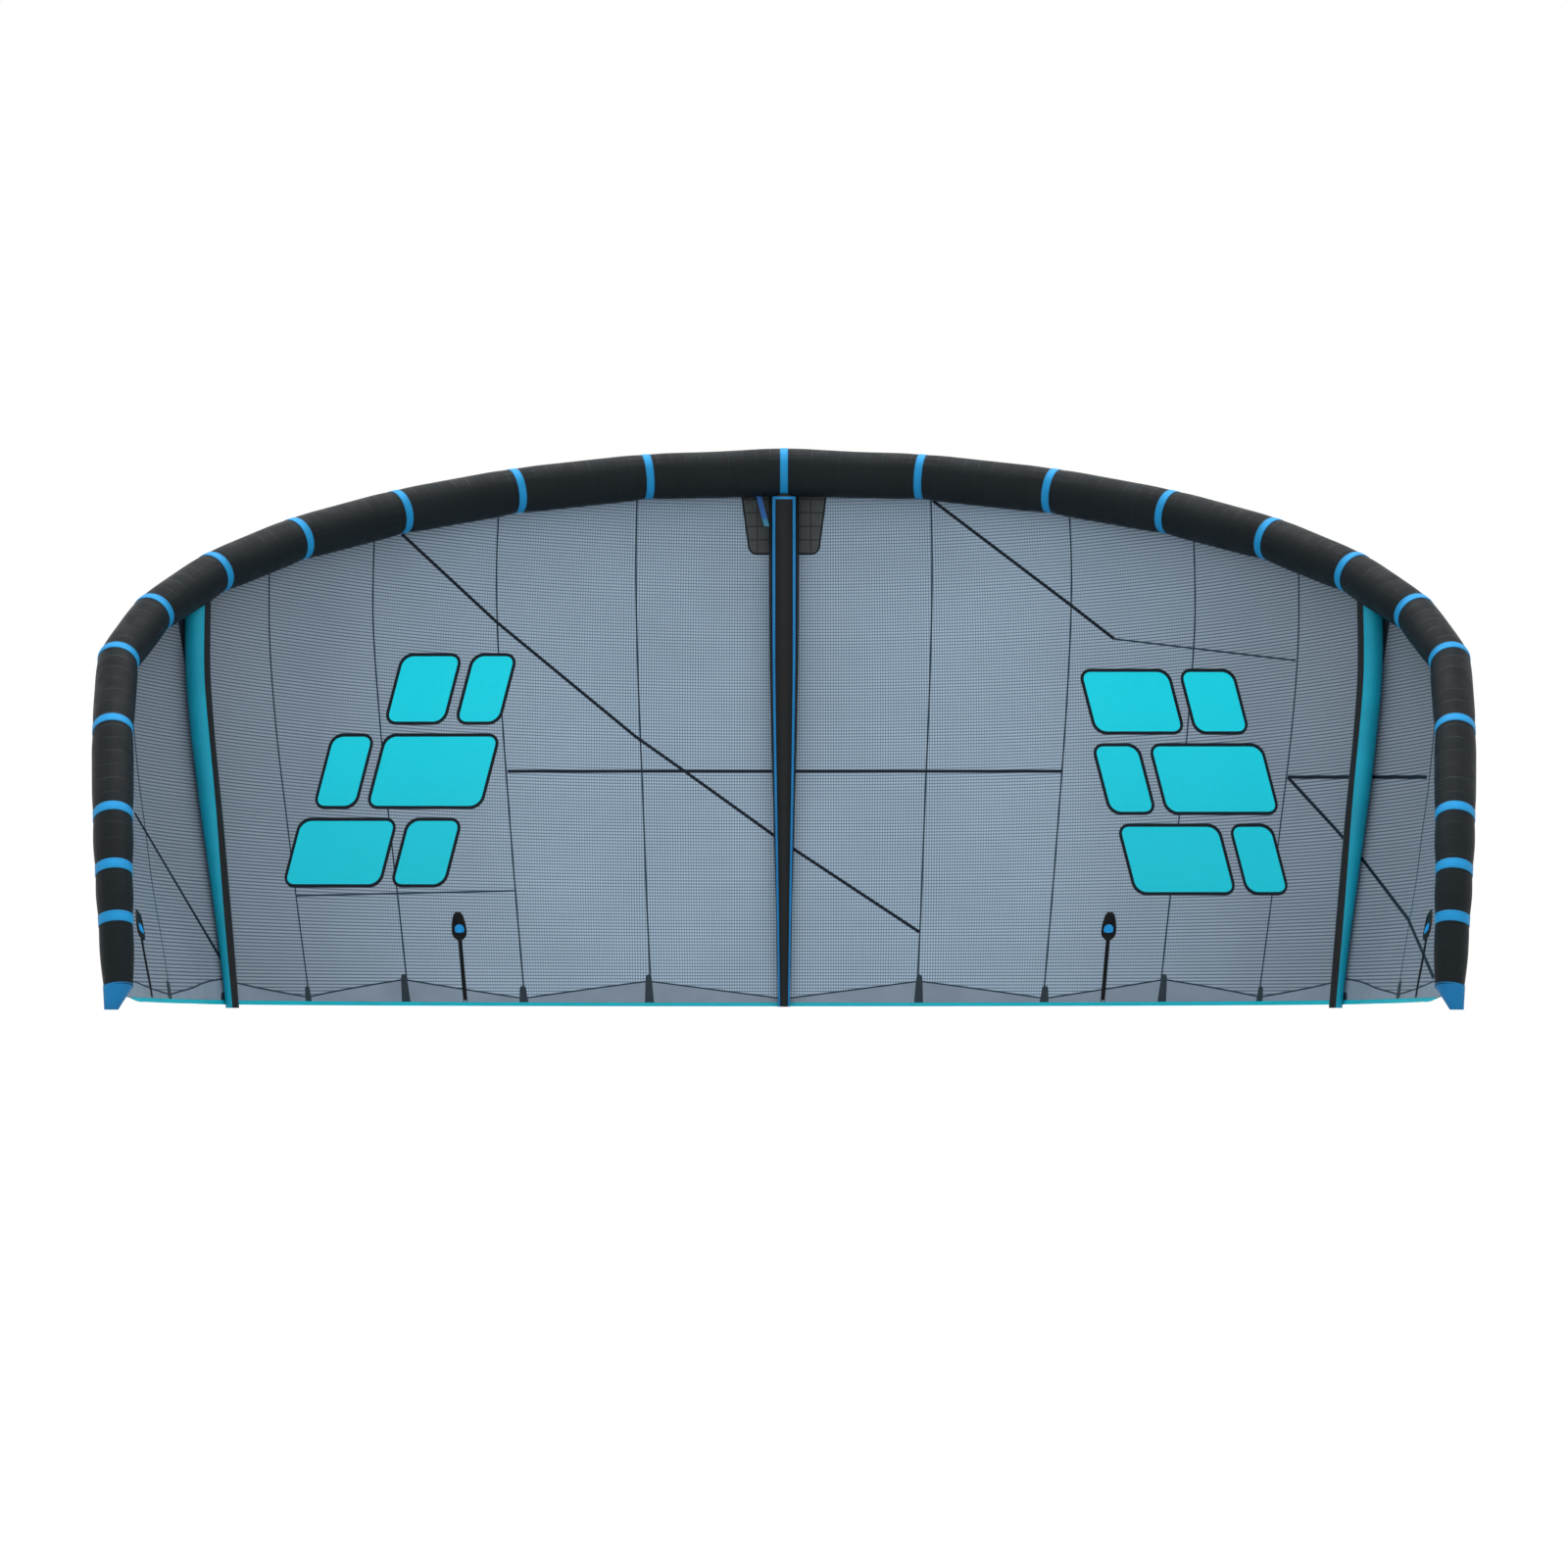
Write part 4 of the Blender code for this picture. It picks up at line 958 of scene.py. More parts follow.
def makeEdgeCloth(side):
    # Plain cloth along the lower edge, its upper seam rising and falling between the seams
    chords = {}

    def surface(station, v):
        if station not in chords:
            chords[station] = edgeHeight(station) / chordAt(station)
        return onCloth(station, 1 - chords[station] * (1 - v), edgeCloth["low"])

    stations = sorted(set(steps(0, wing["tip"], 150)) | set(edgeCloth["stations"]))
    piece = layGrid("edgeCloth_" + sideWord(side), stations, steps(0, 1, 4), surface,
                    lambda s, v: (girthAt(s), v * 0.05), side)
    thicken(piece, edgeCloth["high"] - edgeCloth["low"], 1)
    dress(piece, "plain")
    line = [(side * s, 1 - edgeHeight(s) / chordAt(s)) for s in stations]
    seam = ribbon("edgeClothSeam_" + sideWord(side), line, edgeCloth["seamWidth"], "seam",
                  edgeCloth["seamLow"], edgeCloth["seamHigh"])
    girth = sum((onCloth(b, 1) - onCloth(a, 1)).length
                for a, b in zip(stations, stations[1:]))
    cutFlat(piece, max(edgeCloth["heights"]), girth, withPieces=[seam])


# By station: height, width and lean
darts = {1: (0.095, 0.030, 0), 2: (0.055, 0.030, 0), 3: (0.090, 0.030, 0),
         4: (0.048, 0.026, 0), 5.25: (0.026, 0.062, 0), 8.22: (0.056, 0.036, 2.4)}
middleDart = {0: (0.024, 0.076, 0)}


def makeDarts(side, shapes):
    # Patches with a rounded top that back the lower ends of the seams
    for place, (height, width, lean) in shapes.items():
        top = 1 - shareBefore(place, 1, height, lean)
        shares = [1 - top * (1 - t) for t in (0, 0.03, 0.08, 0.15, 0.3, 0.5, 0.75, 1)]
        line = [(side * leant(place, share, lean), share) for share in shares]

        def taper(t):
            return (0.64 + 0.36 * t) * sqrt(max(1 - (1 - min(t / 0.14, 1)) ** 2, 0.03))

        piece = ribbon(f"edgeDart_{sideWord(side)}_{str(place).replace('.', '-')}", line, width,
                       "dart", -0.0008, 0.0015, 4, widthAt=taper)
        cutFlat(piece, width, height)


loadTapes = {
    "left_long": ((410, 545), (507, 635), (649, 752), (700, 788), (799.5, 859.5)),
    "right_low": ((800.5, 860.2), (938, 951)),
    "level": ((518, 787), (1084, 787)),
    "right_long": ((952, 511), (1092, 617), (1137, 652)),
    "left_tip": ((137.4, 829.6), (228, 983)),
    "right_level": ((1314, 793), (1456, 793)),
    "right_tip": ((1314, 793), (1362, 845), (1392, 879), (1437, 938), (1463, 998)),
}
# Side and panel that each is sewn to, and its ends
thinTapes = {"left_low": (-1, 2, ((302, 914), (525, 909))),
             "right_high": (1, 3, ((1137, 652), (1322, 674)))}


def makeLoadTapes():
    for label, points in loadTapes.items():
        piece = ribbon("loadTape_" + label, pictureLine(points), tapeWidths["load"], "load",
                       -0.0006, 0.0016)
        cutFlat(piece, tapeWidths["load"], piece["tapeLength"])
    for label, (side, index, points) in thinTapes.items():
        piece = ribbon("thinTape_" + label, pictureLine(points), tapeWidths["thin"], "seam",
                       seamLine["low"], seamLine["high"])
        panelWork[(side, index)][3].append(piece)


def pictureSheet(name, rows, columns, count, side, low, high):
    # A sheet on the cloth between a left and a right column of the picture in each row
    spots = {}

    def spot(u, row):
        if (u, row) not in spots:
            left, right = columns(row)
            spots[(u, row)] = clothAt(left + (right - left) * u, row)
        return spots[(u, row)]

    # Stations run to the right on the right half only
    across = steps(0, 1, count) if side > 0 else steps(1, 0, count)
    piece = layGrid(name, across, rows, lambda u, row: onCloth(*spot(u, row), low),
                    lambda u, row: uvOnCloth(*spot(u, row)))
    if side < 0:
        turnFacesOver()
    return thicken(piece, high - low, 1)


# A plain pattern of leaning tiles, laid like bricks: left, top, right, bottom in the picture
tiles = {
    "left": ((402, 668, 462, 738), (474, 668, 518, 738), (330, 750, 372, 824),
             (384, 750, 500, 824), (298, 836, 396, 904), (408, 836, 462, 904)),
    "right": ((1110, 684, 1200, 748), (1212, 684, 1266, 748), (1124, 760, 1170, 830),
              (1182, 760, 1296, 830), (1150, 842, 1252, 912), (1264, 842, 1306, 912)),
}
tileShape = {"lean": 0.26, "corner": 11, "cell": 5, "pipingCell": 6, "low": -0.0003,
             "high": 0.0010, "pipingLow": -0.0004, "pipingHigh": 0.0014}


def makeTile(name, box, side):
    left, top, right, bottom = box
    corner = tileShape["corner"]
    high, wide = bottom - top, right - left
    lean = tileShape["lean"] * (-1 if side > 0 else 1)

    def half(row):
        # Half the width at this row, drawn in round the corners
        fromEnd = min(row - top, bottom - row)
        cut = corner - sqrt(max(corner**2 - max(corner - fromEnd, 0) ** 2, 0))
        return wide / 2 - cut

    def columns(row):
        middle = (left + right) / 2 + (bottom - row - high / 2) * lean
        return middle - half(row), middle + half(row)

    rows = sorted({top + corner * (1 - cos(pi / 2 * t)) for t in steps(0, 1, 6)}
                  | {bottom - corner * (1 - cos(pi / 2 * t)) for t in steps(0, 1, 6)}
                  | set(steps(top + corner, bottom - corner, round(high / tileShape["cell"]))))
    piece = pictureSheet(name, rows, columns, round(wide / tileShape["cell"]), side,
                         tileShape["low"], tileShape["high"])
    dress(piece, "print")
    outline = [(columns(row)[1], row) for row in rows]
    outline += [(columns(row)[0], row) for row in reversed(rows)]
    outline.append(outline[0])
    piping = ribbon(name + "_piping", pictureLine(outline, tileShape["pipingCell"]),
                    tapeWidths["piping"], "piping", tileShape["pipingLow"],
                    tileShape["pipingHigh"], closed=True)
    # The cloth slants away from the camera, so a tile is longer than it looks
    metres = cameraSeat["distance"] / picture["focal"]
    cutFlat(piece, max(wide * metres * 1.5, 0.05), high * metres * 1.3, withPieces=[piping])


for side in (-1, 1):
    makeSeams(side)
    makeEdgeCloth(side)
    makeDarts(side, darts)
makeDarts(1, middleDart)
makeLoadTapes()
for side in (-1, 1):
    for number, box in enumerate(tiles[sideWord(side)], 1):
        makeTile(f"patternTile_{sideWord(side)}_{number}", box, side)
print("canopy details made")

binding = {"height": 0.0126, "over": 0.0014, "wall": 0.0034, "round": 0.0015}


def makeBinding():
    outline = []
    r, wide, tall = binding["round"], binding["wall"] / 2, binding["height"]
    for cx, cy, start in ((wide - r, tall - r, 0), (r - wide, tall - r, 90),
                          (r - wide, r * 0.5, 180), (wide - r, r * 0.5, 270)):
        for i in range(4):
            a = radians(start + i * 30)
            outline.append((cx + r * cos(a), cy + r * sin(a) * (1 if start < 180 else 0.5)))
    outline.append(outline[0])
    frameAt = {}

    def surface(v, u):
        out, down = outline[int(round(u))]
        if v not in frameAt:
            across, along, normal = clothFrame(abs(v), 1)
            base = onCloth(abs(v), 1) - along * binding["over"]
            frameAt[v] = (base, along, normal)
        base, along, normal = frameAt[v]
        point = base + along * down + normal * (out + canopy["wall"] / 2)
        point.z = max(point.z, 0.0004)
        return mirrored(point) if v < 0 else point

    places = steps(-wing["tip"], wing["tip"], 480)
    piece = layGrid("edgeBinding", places, list(range(len(outline))), surface,
                    lambda v, u: (v * 0.3, (outline[int(round(u))][1] - 0.005)), 1, True)
    closeHoles(piece, 60)
    dress(piece, "edge", stands=["trailing_edge_binding"])
    girth = 2 * sum((onCloth(b, 1) - onCloth(a, 1)).length
                    for a, b in zip(girthPlaces, girthPlaces[1:]))


makeBinding()
print("binding made")


# Struts
struts = {
    "shares": (0, 0.15, 0.35, 0.55, 0.75, 0.9, 1), "floor": 1.01, "mitre": 0.0035,
    "centre": {"station": 0.0, "seat": 0.0015,
               "widths": (0.100, 0.100, 0.096, 0.080, 0.060, 0.047, 0.039)},
    "side": {"station": 5.25, "seat": 0.0003,
             "widths": (0.074, 0.072, 0.068, 0.062, 0.050, 0.042, 0.038)},
}


def strutRadius(kind, share):
    return smoothThrough(struts["shares"], struts[kind]["widths"], share) / 2


def fromTubeLine(point):
    # How far a point is outside the leading edge's skin
    best, point = 9.0, Vector((abs(point.x), point.y, point.z))
    for k in range(wing["tip"]):
        a, b = joints[k], joints[k + 1]
        t = min(max((point - a).dot(b - a) / (b - a).length_squared, 0), 1)
        radius = radii[k] + (radii[k + 1] - radii[k]) * t
        best = min(best, (point - a.lerp(b, t)).length - radius)
    return best


def strutPoint(kind, turn, share, shrink=0.0):
    # Turn 0 is on the cloth, half a turn faces the pilot, and share past 1 goes to the floor
    strut = struts[kind]
    station = strut["station"]
    down = min(share, 1)
    radius = strutRadius(kind, down)
    if station == 0:
        left = clothMiddle(0, max(down - 0.02, 0))
        right = clothMiddle(0, min(down + 0.02, 1))
        along, across = (right - left).normalized(), Vector((1, 0, 0))
        out = across.cross(along).normalized()
    else:
        across, along, out = clothFrame(station, down)
    centre = clothMiddle(station, down) - out * (radius + strut["seat"])
    point = centre + (out * cos(turn) + across * sin(turn)) * (radius - shrink)
    if share > 1:
        flat = point - along * (point.z / along.z)
        point = point.lerp(flat, (share - 1) / (struts["floor"] - 1))
    return point


strutStarts = {}


def strutStart(kind, turn):
    # Where the sleeve meets the leading edge, like a mitred pipe
    key = (kind, round(turn, 5))
    if key not in strutStarts:
        low, high = 0.0, 0.12
        for i in range(14):
            middle = (low + high) / 2
            if fromTubeLine(strutPoint(kind, turn, middle)) > struts["mitre"]:
                high = middle
            else:
                low = middle
        strutStarts[key] = high
    return strutStarts[key]


def strutRow(kind, turn, v):
    # v 0 at the leading edge, 1 at the cloth's lower edge
    start = strutStart(kind, turn)
    return start + (1 - start) * v if v <= 1 else v


def makeStrut(kind, side, label):
    floor = struts["floor"]

    def surface(turn, v):
        # 0 to 1 runs down the strut, and 1.5 to 2.5 over its sole to the middle
        if v > 1.5:
            ring = strutPoint(kind, turn, floor)
            heart = sum((strutPoint(kind, a, floor) for a in (0, pi / 2, pi, 3 * pi / 2)),
                        Vector()) / 4
            return ring.lerp(heart, v - 1.5)
        return strutPoint(kind, turn, strutRow(kind, turn, v))

    piece = layGrid("strutSleeve_" + label, steps(0, 2 * pi, 56),
                    steps(0, 1, 130) + [floor, 1.7, 2.0, 2.3, 2.5], surface,
                    lambda turn, v: (turn * strutRadius(kind, 0), min(v, 1) * 1.7), side, True)
    bpy.ops.object.mode_set(mode="EDIT")
    bpy.ops.mesh.select_all(action="SELECT")
    bpy.ops.mesh.remove_doubles(threshold=0.0002)
    bpy.ops.object.mode_set(mode="OBJECT")
    thicken(piece, sleeve["wall"])
    dress(piece, "strut" if kind == "centre" else "sideStrut",
          stands=["strut_sleeve_" + label])
    cutFlat(piece, 2 * pi * strutRadius(kind, 0), chordAt(struts[kind]["station"]) * 1.04)

    def inside(turn, v):
        down = 0.1 + 0.895 * min(v, 1)
        closing = 1 - max(min((v - 1) * 10, 1), 0)
        closing *= min(v / 0.01, 1)
        radius = strutRadius(kind, down)
        return strutPoint(kind, turn, down, radius - (radius - 0.0015) * closing)

    film = layGrid("strutBladder_" + label, steps(0, 2 * pi, 24),
                   [0, 0.004, 0.01] + steps(0.02, 1, 50) + [1.03, 1.07, 1.1], inside,
                   lambda turn, v: (turn, v), side, True)
    return dress(film, "film", stands=["strut_bladder_" + label])


def strutStripe(name, kind, side, turnsAt, rows, finish, columns=4, level=None):
    # A strip of cloth sewn on a strut between two turns. Its rows are counted as in
    # strutRow, or from a level share.
    def surface(u, v):
        first, last = turnsAt(min(v, 1))
        turn = first + (last - first) * u
        row = strutRow(kind, turn, v) if level is None or v > 1 else level + (1 - level) * v
        return strutPoint(kind, turn, row, -0.0004)

    piece = layGrid(name, steps(0, 1, columns), rows, surface,
                    lambda u, v: (u * 0.05, v * 1.7), side)
    thicken(piece, 0.0004, 1)
    return dress(piece, finish)


stripes = {"topTurn": 0.745, "lowTurn": 0.96, "topWidth": 0.013, "lowWidth": 0.0095,
           "crossFrom": 0.0004, "crossTo": 0.0056,
           "edgeFrom": 2.80, "edgeFromLow": 2.12, "edgeTo": 5.9, "edgeWidth": 0.120}
# Picture rows, and columns out of the middle at the first row with their slopes
strutCorner = {"top": 632, "bottom": 679, "outer": (618.5, -0.155), "inner": (609.5, 0.035),
               "low": -0.0008, "high": 0.0004, "flat": (0.060, 0.160)}


def makeStrutCorner(side):
    # A small dark patch in the corner of strut and leading edge
    top, middle = strutCorner["top"], picture["size"] / 2

    def columns(row):
        return sorted(middle + side * (start + (row - top) * slope)
                      for start, slope in (strutCorner["outer"], strutCorner["inner"]))

    piece = pictureSheet("strutCorner_" + sideWord(side), steps(top, strutCorner["bottom"], 12),
                         columns, 4, side, strutCorner["low"], strutCorner["high"])
    dress(piece, "dart")
    cutFlat(piece, *strutCorner["flat"])


def makeStruts():
    makeStrut("centre", 1, "centre")
    down = steps(0, 1, 120) + [struts["floor"]]

    def stripeTurns(way, t):
        middle = stripes["topTurn"] + (stripes["lowTurn"] - stripes["topTurn"]) * t**2
        width = stripes["topWidth"] + (stripes["lowWidth"] - stripes["topWidth"]) * t
        half = width / 2 / strutRadius("centre", t)
        return pi - way * middle - half, pi - way * middle + half

    level = max(strutStart("centre", pi + turn) for turn in steps(-1, 1, 8))
    for way in (-1, 1):
        piece = strutStripe("strutStripe_" + sideWord(way), "centre", 1,
                            lambda t: stripeTurns(way, t), down, "stripe",
                            level=level)
        cutFlat(piece, stripes["topWidth"], chordAt(0) * 1.03)
    piece = strutStripe("strutCrossPiece", "centre", 1,
                        lambda t: (pi - stripes["topTurn"], pi + stripes["topTurn"]),
                        steps(stripes["crossFrom"], stripes["crossTo"], 3), "stripe",
                        columns=16, level=level)
    cutFlat(piece, 2 * stripes["topTurn"] * strutRadius("centre", 0), 0.0105)
    for side in (-1, 1):
        # The side struts have black cloth on the side towards the middle
        makeStrut("side", side, sideWord(side))
        piece = strutStripe(
            "strutSide_" + sideWord(side), "side", side,
            lambda t: (stripes["edgeFrom"] + (stripes["edgeFromLow"] - stripes["edgeFrom"])
                       * ease((t - 0.35) / 0.65), stripes["edgeTo"]),
            down, "strut", columns=24)
        cutFlat(piece, stripes["edgeWidth"], chordAt(struts["side"]["station"]) * 1.03)
        makeStrutCorner(side)


makeStruts()
print("struts made")


# Patch behind the middle strut's root
patch = {"halfWidth": 0.150, "length": 0.221, "start": 0.006, "narrow": 0.82, "straight": 0.85,
         "corner": 0.25, "low": -0.0012, "high": 0.0014, "border": 0.006}


def patchHalf(t):
    # Half width down the patch, with quarter turns at its lower corners
    straight = patch["halfWidth"] * (1 - (1 - patch["narrow"]) * min(t / patch["straight"], 1))
    if t <= patch["straight"]:
        return straight
    turn = asin(min((t - patch["straight"]) / (1 - patch["straight"]), 1))
    return straight * (1 - patch["corner"] * (1 - cos(turn)))


def makePatch():
    chord, stretch = chordAt(0), (onCloth(0.1, 0.05) - onCloth(0, 0.05)).length / 0.1
    rows = steps(0, patch["straight"], 16)
    rows += [patch["straight"] + (1 - patch["straight"]) * sin(pi / 2 * t)
             for t in steps(0.125, 1, 7)]

    def spot(u, t):
        share = (patch["start"] + patch["length"] * t) / chord
        return u * patchHalf(t) / stretch, share

    piece = layGrid("rootPatch", steps(-1, 1, 30), rows,
                    lambda u, t: onCloth(*spot(u, t), patch["low"]),
                    lambda u, t: (u * patchHalf(t), t * patch["length"] - 0.036))
    thicken(piece, patch["high"] - patch["low"], 1)
    dress(piece, "patch", stands=["centre_patch"])
    outline = [spot(-0.98, t) for t in rows] + [spot(u, 1) for u in steps(-0.9, 0.9, 12)]
    outline += [spot(0.98, t) for t in reversed(rows)]
    border = ribbon("rootPatchBorder", outline, patch["border"], "piping", -0.0014,
                    0.0016)
    cutFlat(piece, patch["halfWidth"] * 2, patch["length"], restsOn=["canopyPanel_left_1"],
            withPieces=[border])


makePatch()

# Battens, with the moulded caps of their pockets
batten = {"width": 0.0095, "wall": 0.0020, "play": 0.0078, "gap": 0.0006, "pocket": 0.0016}
cap = {"length": 0.090, "width": 0.052, "wall": 0.0035, "skin": 0.0012, "buttonSkin": 0.0010,
       "along": (0, 0.12, 0.3, 0.5, 0.66, 0.8, 0.92, 1),
       "widths": (0.34, 0.64, 0.82, 0.95, 1.0, 0.95, 0.74, 0.40)}
battens = {"": (2.484, 0.195, 0), "tip_": (9.55, 0.175, 3.4)}    # station, length, lean


def makeBatten(label, side):
    station, length, lean = battens[label]
    corner = abs(squareStep(station, 1, lean)[1]) * batten["width"] / 2 if lean else 0
    low = shareBefore(station, 1 - corner, batten["play"], lean)
    high = shareBefore(station, low, length, lean)
    bottom = shareBefore(station, high, 0.0003, lean)
    top = shareBefore(station, bottom, cap["length"], lean)
    word = label + sideWord(side)
    stepsAt = {}

    def beside(share, reach):
        # The cloth place this far to one side of the batten's line
        if share not in stepsAt:
            stepsAt[share] = squareStep(leant(station, share, lean), share, lean)
        over, down = stepsAt[share]
        return leant(station, share, lean) + reach * over, share + reach * down

    def strip(u, t):
        # A flat strip with rounded sides, on the pilot's side of the cloth
        angle = 2 * pi * u
        wide = batten["width"] / 2 * max(-1, min(1, 1.15 * cos(angle)))
        thick = batten["wall"] / 2 * max(-1, min(1, 1.4 * sin(angle)))
        lift = -batten["gap"] - batten["wall"] / 2 + thick
        return onCloth(*beside(high + (low - high) * t, wide), lift)

    piece = layGrid("battenStrip_" + word, steps(0, 1, 20), steps(0, 1, 30), strip,
                    lambda u, t: (u * 0.03, t * length), side, True)
    closeHoles(piece, 50)
    body = sideWord(side) + ("_tip" if label else "") + "_batten"
    dress(piece, "batten", body, ["batten_" + word])

    def dome(u, t):
        # A raised rim round a hollow that holds the batten's end
        wide = cap["width"] / 2 * smoothThrough(cap["along"], cap["widths"], t)
        inward = min(1 - abs(u), 1.6 * t, 1.6 * (1 - t))
        rim = ease(inward / 0.16) - 0.55 * ease((inward - 0.34) / 0.16)
        lift = -batten["gap"] - cap["wall"] * (0.15 + 0.85 * rim)
        return onCloth(*beside(top + (bottom - top) * t, u * wide), lift)

    shell = layGrid("battenCap_" + word, steps(-1, 1, 36), steps(0, 1, 48), dome,
                    lambda u, t: (u * cap["width"] / 2, t * cap["length"]), side)
    thicken(shell, cap["skin"], 1)
    dress(shell, "cap", stands=["batten_cap_" + word])

    def insetPoint(u, v):
        # A rounded wedge, domed, in the cap's hollow
        turn = 2 * pi * u
        x = v * 0.70 * cos(turn) * (1.0 + 0.24 * sin(turn))
        y = 0.61 + v * 0.155 * sin(turn)
        lift = -batten["gap"] - cap["wall"] * (0.46 + 0.50 * (1 - v**4))
        return onCloth(*beside(top + (bottom - top) * y, x * cap["width"] / 2), lift)

    button = layGrid("battenButton_" + word, steps(0, 1, 28),
                     [0.0001, 0.3, 0.55, 0.75, 0.88, 0.95, 1], insetPoint,
                     lambda u, v: (u * 0.02, v * 0.02), side, True)
    thicken(button, cap["buttonSkin"], 1)
    dress(button, "inset")
    for way in (-1, 1):
        reach = way * (batten["width"] / 2 + batten["pocket"] / 2 + 0.0004)
        spots = [beside(share, reach) for share in steps(high, 1, 24)]
        line = [(side * place, min(share, 1)) for place, share in spots]
        edge = ribbon(f"battenPocket_{word}_{'inner' if way < 0 else 'outer'}", line,
                      batten["pocket"], "load", -0.0016, 0.0014)
        panelWork[(side, 5 if lean else 2)][3].append(edge)


for label in battens:
    for side in (-1, 1):
        makeBatten(label, side)
for (side, index), (piece, widest, longest, strips) in panelWork.items():
    cutFlat(piece, widest * 1.02, longest * 1.03, restsOn=["leadingEdgeSleeve_" + sideWord(side)],
            withPieces=strips)
print("patch and battens made")


# Webbing tab that hangs behind the tube, with a stitched end, beside the middle strut
tab = {"offset": 0.087, "length": 0.100, "width": 0.018, "wall": 0.0022, "lean": 12,
       "end": 0.022, "over": 0.003, "fold": 0.0046, "bow": 0.0012}


def makeTab():
    station = tab["offset"] / lengths[0]
    roll = tab["wall"] * 0.7
    root = mirrored(onTube(station, 0, 0.0003 + roll))
    along = (onTube(0, 0) - mirrored(onTube(1, 0))).normalized()
    heart = mirrored((onTube(station, 0) + onTube(station, pi)) / 2)
    down = root - heart
    down = (down - along * down.dot(along)).normalized()
    front = down.cross(along)
    slope = tan(radians(tab["lean"]))

    def spot(x, y, reach):
        return root + along * (x + reach * slope) + front * y + down * reach

    def band(first, last, wall, bow):
        def surface(u, t):
            reach = first + (last - first) * t
            x = tab["width"] / 2 * max(-1, min(1, 1.06 * cos(2 * pi * u)))
            y = wall / 2 * max(-1, min(1, 1.5 * sin(2 * pi * u)))
            return spot(x, y + bow * sin(pi * t), reach)
        return surface

    strap = layGrid("leashStrap", steps(0, 1, 24), steps(0, 1, 40),
                    band(0.0, tab["length"], tab["wall"], tab["bow"]),
                    lambda u, t: (u * tab["width"] * 2, t * tab["length"]), 1, True)
    closeHoles(strap, 50)
    dress(strap, "webbing", "leash_tab", ["pump_leash_tab"])
    fold = layGrid("leashStrapEnd", steps(0, 1, 24), steps(0, 1, 12),
                   band(tab["length"] - tab["end"], tab["length"] + tab["over"], tab["fold"], 0),
                   lambda u, t: (u * tab["width"] * 2, t * tab["end"]), 1, True)
    closeHoles(fold, 50)
    dress(fold, "webbingEnd", "leash_tab")
    cutFlat(fold, tab["width"], tab["end"] + tab["over"], held="folded")
    cutFlat(strap, tab["width"], tab["length"], held="hung")


makeTab()

# Inflation valve under the canopy: seat, turning plug and hinged stopper
valve = {"offset": 0.110, "patch": 0.036, "bore": 0.028, "neck": 0.038, "rim": 0.044,
         "rimHeight": 0.003, "stand": 0.008, "sink": 0.010, "disc": 0.004, "plugDepth": 0.010,
         "airHole": 0.014, "gap": 0.0003, "stopper": 0.022, "stopperWall": 0.0025,
         "hinge": 0.0024, "hingeWidth": 0.007, "hingeOffset": 0.014, "round": 0.0007,
         "patchWall": 0.0004, "grip": (0.008, 0.004, 0.0042)}


def turnedPiece(name, profile, matrix, finish, body, node, sides=72):
    # The outline runs down its outer side, and its ends meet on or round the axis
    def surface(turn, i):
        radius, height = profile[i]
        return matrix @ Vector((radius * cos(turn), radius * sin(turn), height))

    piece = layGrid(name, steps(0, 2 * pi, sides), list(range(len(profile))), surface,
                    lambda turn, i: (turn * 0.01, i * 0.01), 1, True)
    closeHoles(piece, 35)
    return dress(piece, finish, body, [node])


def easedProfile(corners, radius):
    # Rounds each corner of a closed outline of radii and heights
    count = len(corners)
    points = []
    for i, (r, z) in enumerate(corners):
        here = Vector((r, z))
        before, after = Vector(corners[i - 1]), Vector(corners[(i + 1) % count])
        cut = min(radius, (before - here).length * 0.4, (after - here).length * 0.4)
        first = here + (before - here).normalized() * cut
        last = here + (after - here).normalized() * cut
        for t in (0, 0.25, 0.5, 0.75, 1):
            points.append(tuple(first * (1 - t)**2 + here * 2 * t * (1 - t) + last * t * t))
    return points + [points[0]]


def bore(name, radius, matrix):
    # A round hole right through a piece
    bpy.ops.object.select_all(action="DESELECT")
    bpy.ops.mesh.primitive_cylinder_add(vertices=72, radius=radius, depth=0.04)
    cutter = bpy.context.object
    cutter.data.transform(matrix)
    piece = bpy.data.objects[name]
    bpy.context.view_layer.objects.active = piece
    bpy.ops.object.modifier_add(type="BOOLEAN")
    hole = piece.modifiers[-1]
    hole.operation, hole.object = "DIFFERENCE", cutter
    bpy.ops.object.modifier_apply(modifier=hole.name)
    bpy.data.objects.remove(cutter)


def addBlock(name, size, matrix, bevel):
    bpy.ops.object.select_all(action="DESELECT")
    bpy.ops.mesh.primitive_cube_add(size=1)
    block = bpy.context.object
    block.name = block.data.name = name
    block.data.transform(Matrix.Diagonal((*size, 1)))
    bpy.ops.object.modifier_add(type="BEVEL")
    block.modifiers[-1].width, block.modifiers[-1].segments = bevel, 3
    bpy.ops.object.modifier_apply(modifier=block.modifiers[-1].name)
    block.data.transform(matrix)
    bpy.ops.object.shade_smooth_by_angle(angle=radians(40))
    return block


